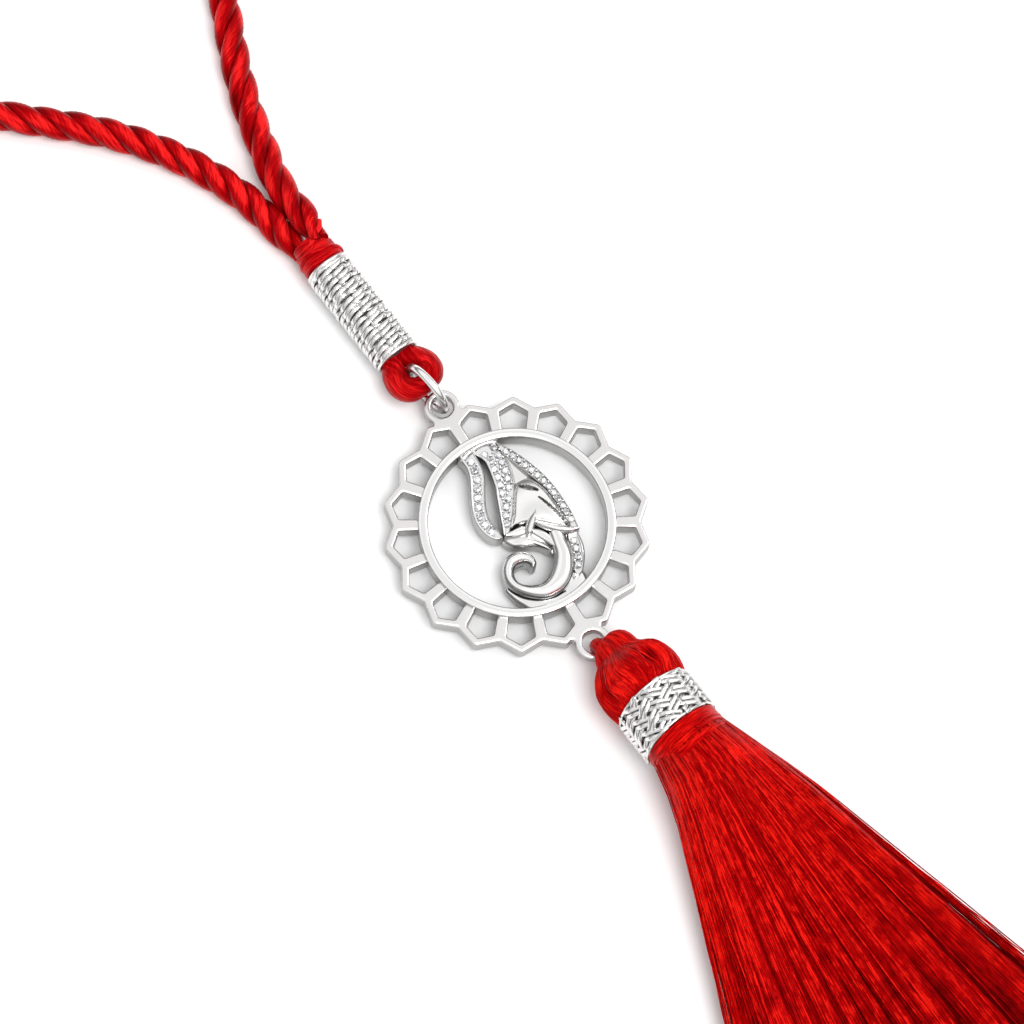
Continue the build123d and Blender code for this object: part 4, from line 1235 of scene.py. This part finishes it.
class RAKHI_OT_pendant(bpy.types.Operator):
    """Builds the pendant's petals, ring, figure and set stones"""
    bl_idname = "rakhi.pendant"
    bl_label = "Pendant"

    def execute(self, context):
        sizes = context.scene.rakhi_pendant
        make_piece("petal_plate", "pendant", SATIN, plate_shape(), None, 32)
        make_piece("bright_ring", "pendant", BRIGHT, ring_shape())
        make_piece("elephant_relief", "pendant", BRIGHT, joined(figure_shapes()), None, 48)
        # Painted shadow: dark sheets in the slits and in the cut under the trunk
        make_piece("deep_cut_shadows", "pendant", BLACK, joined(slit_shapes()))
        top = PENDANT[2] + SEAT + sizes.stone_rise * 1000
        places, rng = [], np.random.default_rng(4)
        for node, width in STONES:
            centres, held = set_field(node, width)
            places.append(held)
            shape = facets(centres, width, top)
            # Painted reflections: a random number for each facet picks its grey or white
            flash = rng.uniform(0, 1, sum(len(face) for face in shape[1]))
            make_piece("cut_" + node, node, STONE, shape, flash, 0)
        grains = beads(np.concatenate(places), sizes.bead_radius * 1000, PENDANT[2] + BEAD_SEAT)
        make_piece("setting_beads", "pendant", BRIGHT, grains, None, 60)
        return {"FINISHED"}


class RAKHI_OT_tassel(bpy.types.Operator):
    """Builds the tassel's loop, head, band, whipping and skirt"""
    bl_idname = "rakhi.tassel"
    bl_label = "Tassel"

    def execute(self, context):
        make_piece("tassel_head", "tassel_silk", COMBED, *head_shape(), 60)
        make_piece("tassel_head_threads", "tassel_silk", COMBED, *head_threads(), 60)
        make_piece("tassel_silk_loop", "tassel_loop", COMBED, loop_shape(), 0.1, 60)
        make_piece("tassel_skirt_body", "tassel_silk", COMBED, *skirt_body(), 60)
        count = context.scene.rakhi_tassel.threads
        for k, layer in enumerate(LAYERS):
            shape, tone = skirt_threads(count, 20 + k, *layer)
            # Painted shade: each layer further out is 0.05 lighter, so the ones beneath read darker
            make_piece("tassel_threads_%d" % (k + 1), "tassel_silk", COMBED, shape,
                       tone + 0.05 * k, 0)
        braid, core = band_shapes()
        make_piece("band_braid", "tassel_band", FOIL, braid, None, 0)
        make_piece("band_core", "tassel_band", SHADE_CORE, core)
        make_piece("tassel_whipping_yarn", "tassel_whipping", COMBED, whipping_shape(), 0.1, 60)
        return {"FINISHED"}


def stand(name, data, place, axes):
    """Object of a lamp or camera at a place, its x, y and z along the axes."""
    holder = bpy.data.objects.new(name, data)
    holder.location = place
    holder.rotation_euler = Matrix(np.column_stack(axes).tolist()).to_euler()
    bpy.context.scene.collection.objects.link(holder)
    return holder


class RAKHI_OT_stage(bpy.types.Operator):
    """Builds the floor, the light tent, the two lamps and the camera"""
    bl_idname = "rakhi.stage"
    bl_label = "Stage"

    def execute(self, context):
        scene = context.scene
        stage = scene.rakhi_stage
        scene.view_settings.view_transform = "Standard"
        corners = FLOOR_HALF * np.array([(-1, -1, 0), (1, -1, 0), (1, 1, 0), (-1, 1, 0)])
        mesh = bpy.data.meshes.new("paper_floor")
        mesh.from_pydata(corners.tolist(), [], [[0, 1, 2, 3]])
        mesh.materials.append(finished(PAPER))
        floor = bpy.data.objects.new("paper_floor", mesh)
        scene.collection.objects.link(floor)
        scene.world = bpy.data.worlds.new("light tent")
        scene.world.use_nodes = True
        tree = scene.world.node_tree
        tree.nodes.clear()
        place = add(tree, "TexCoord", out="Generated")
        height = add(tree, "SeparateXYZ", links={0: place}, out="Z")
        tone = add(tree, "ValToRGB", links={"Fac": height}, stops=TENT)
        sky = add(tree, "Background", {"Strength": 1.1}, {"Color": tone})
        add(tree, "OutputWorld", links={"Surface": sky})
        right, up, back, middle = view_axes()
        for name, offset, size, power in (
                ("key_softbox", right * 0.26 + up * 0.06 + back * 0.93, 0.5, stage.key_power),
                ("side_softbox", right * 0.72 + up * 0.4 + back * 0.5, 0.4, stage.side_power)):
            lamp = bpy.data.lights.new(name, "AREA")
            lamp.energy = power
            lamp.shape = "DISK"
            lamp.size = size
            aim = unit(offset)
            side = unit(np.cross((0, 0, 1), aim))
            stand(name, lamp, middle + offset, (side, np.cross(aim, side), aim))
        camera = bpy.data.cameras.new("photo_camera")
        camera.lens = stage.lens
        camera.sensor_width = 36.0
        camera.sensor_fit = "HORIZONTAL"
        camera.clip_end = 20.0
        scene.camera = stand("photo_camera", camera, middle + back * stage.distance,
                             (right, up, back))
        return {"FINISHED"}


def view_axes():
    """The picture's right, up and back directions and the point in its middle, metres: the
    camera stands 72.12 degrees above the floor, the part is turned 40.6 degrees to the left in
    the picture, and the picture is rolled 9.2 degrees."""
    tall, roll, turn = np.radians((72.12, 9.2, -40.6))
    spin = np.stack([heading(math.degrees(turn) - 90), heading(math.degrees(turn)), (0, 0, 1)], 1)
    level = np.array([1.0, 0, 0])
    back = np.array([0, -math.cos(tall), math.sin(tall)])
    rise = np.cross(back, level)
    right = spin @ (level * math.cos(roll) + rise * math.sin(roll))
    up = spin @ (rise * math.cos(roll) - level * math.sin(roll))
    middle = (PENDANT + (0.131, 1.152, 1.78)) / 1000
    return right, up, spin @ back, middle


class RAKHI_PT_panel(bpy.types.Panel):
    """Panel with the pieces and their sizes"""
    bl_label = "Lumba rakhi"
    bl_space_type = "VIEW_3D"
    bl_region_type = "UI"
    bl_category = "Rakhi"

    def draw(self, context):
        scene = context.scene
        for group in (scene.rakhi_pendant, scene.rakhi_tassel, scene.rakhi_stage):
            for name in group.__annotations__:
                self.layout.prop(group, name)
        for operator in OPERATORS:
            self.layout.operator(operator.bl_idname)


GROUPS = {"rakhi_pendant": RakhiPendant, "rakhi_tassel": RakhiTassel, "rakhi_stage": RakhiStage}
OPERATORS = (RAKHI_OT_cord, RAKHI_OT_collar, RAKHI_OT_pendant, RAKHI_OT_tassel, RAKHI_OT_stage)


def register():
    """Registers the classes and hangs the groups on the scene."""
    for item in (*GROUPS.values(), *OPERATORS, RAKHI_PT_panel):
        bpy.utils.register_class(item)
    for name, group in GROUPS.items():
        setattr(bpy.types.Scene, name, PointerProperty(type=group))


def unregister():
    """Takes the groups and the classes away again."""
    for name in GROUPS:
        delattr(bpy.types.Scene, name)
    for item in (RAKHI_PT_panel, *reversed(OPERATORS), *reversed(GROUPS.values())):
        bpy.utils.unregister_class(item)


def main():
    """Builds every piece in order."""
    register()
    bpy.ops.rakhi.cord()
    bpy.ops.rakhi.collar()
    bpy.ops.rakhi.pendant()
    bpy.ops.rakhi.tassel()
    bpy.ops.rakhi.stage()


if __name__ == "__main__":
    main()
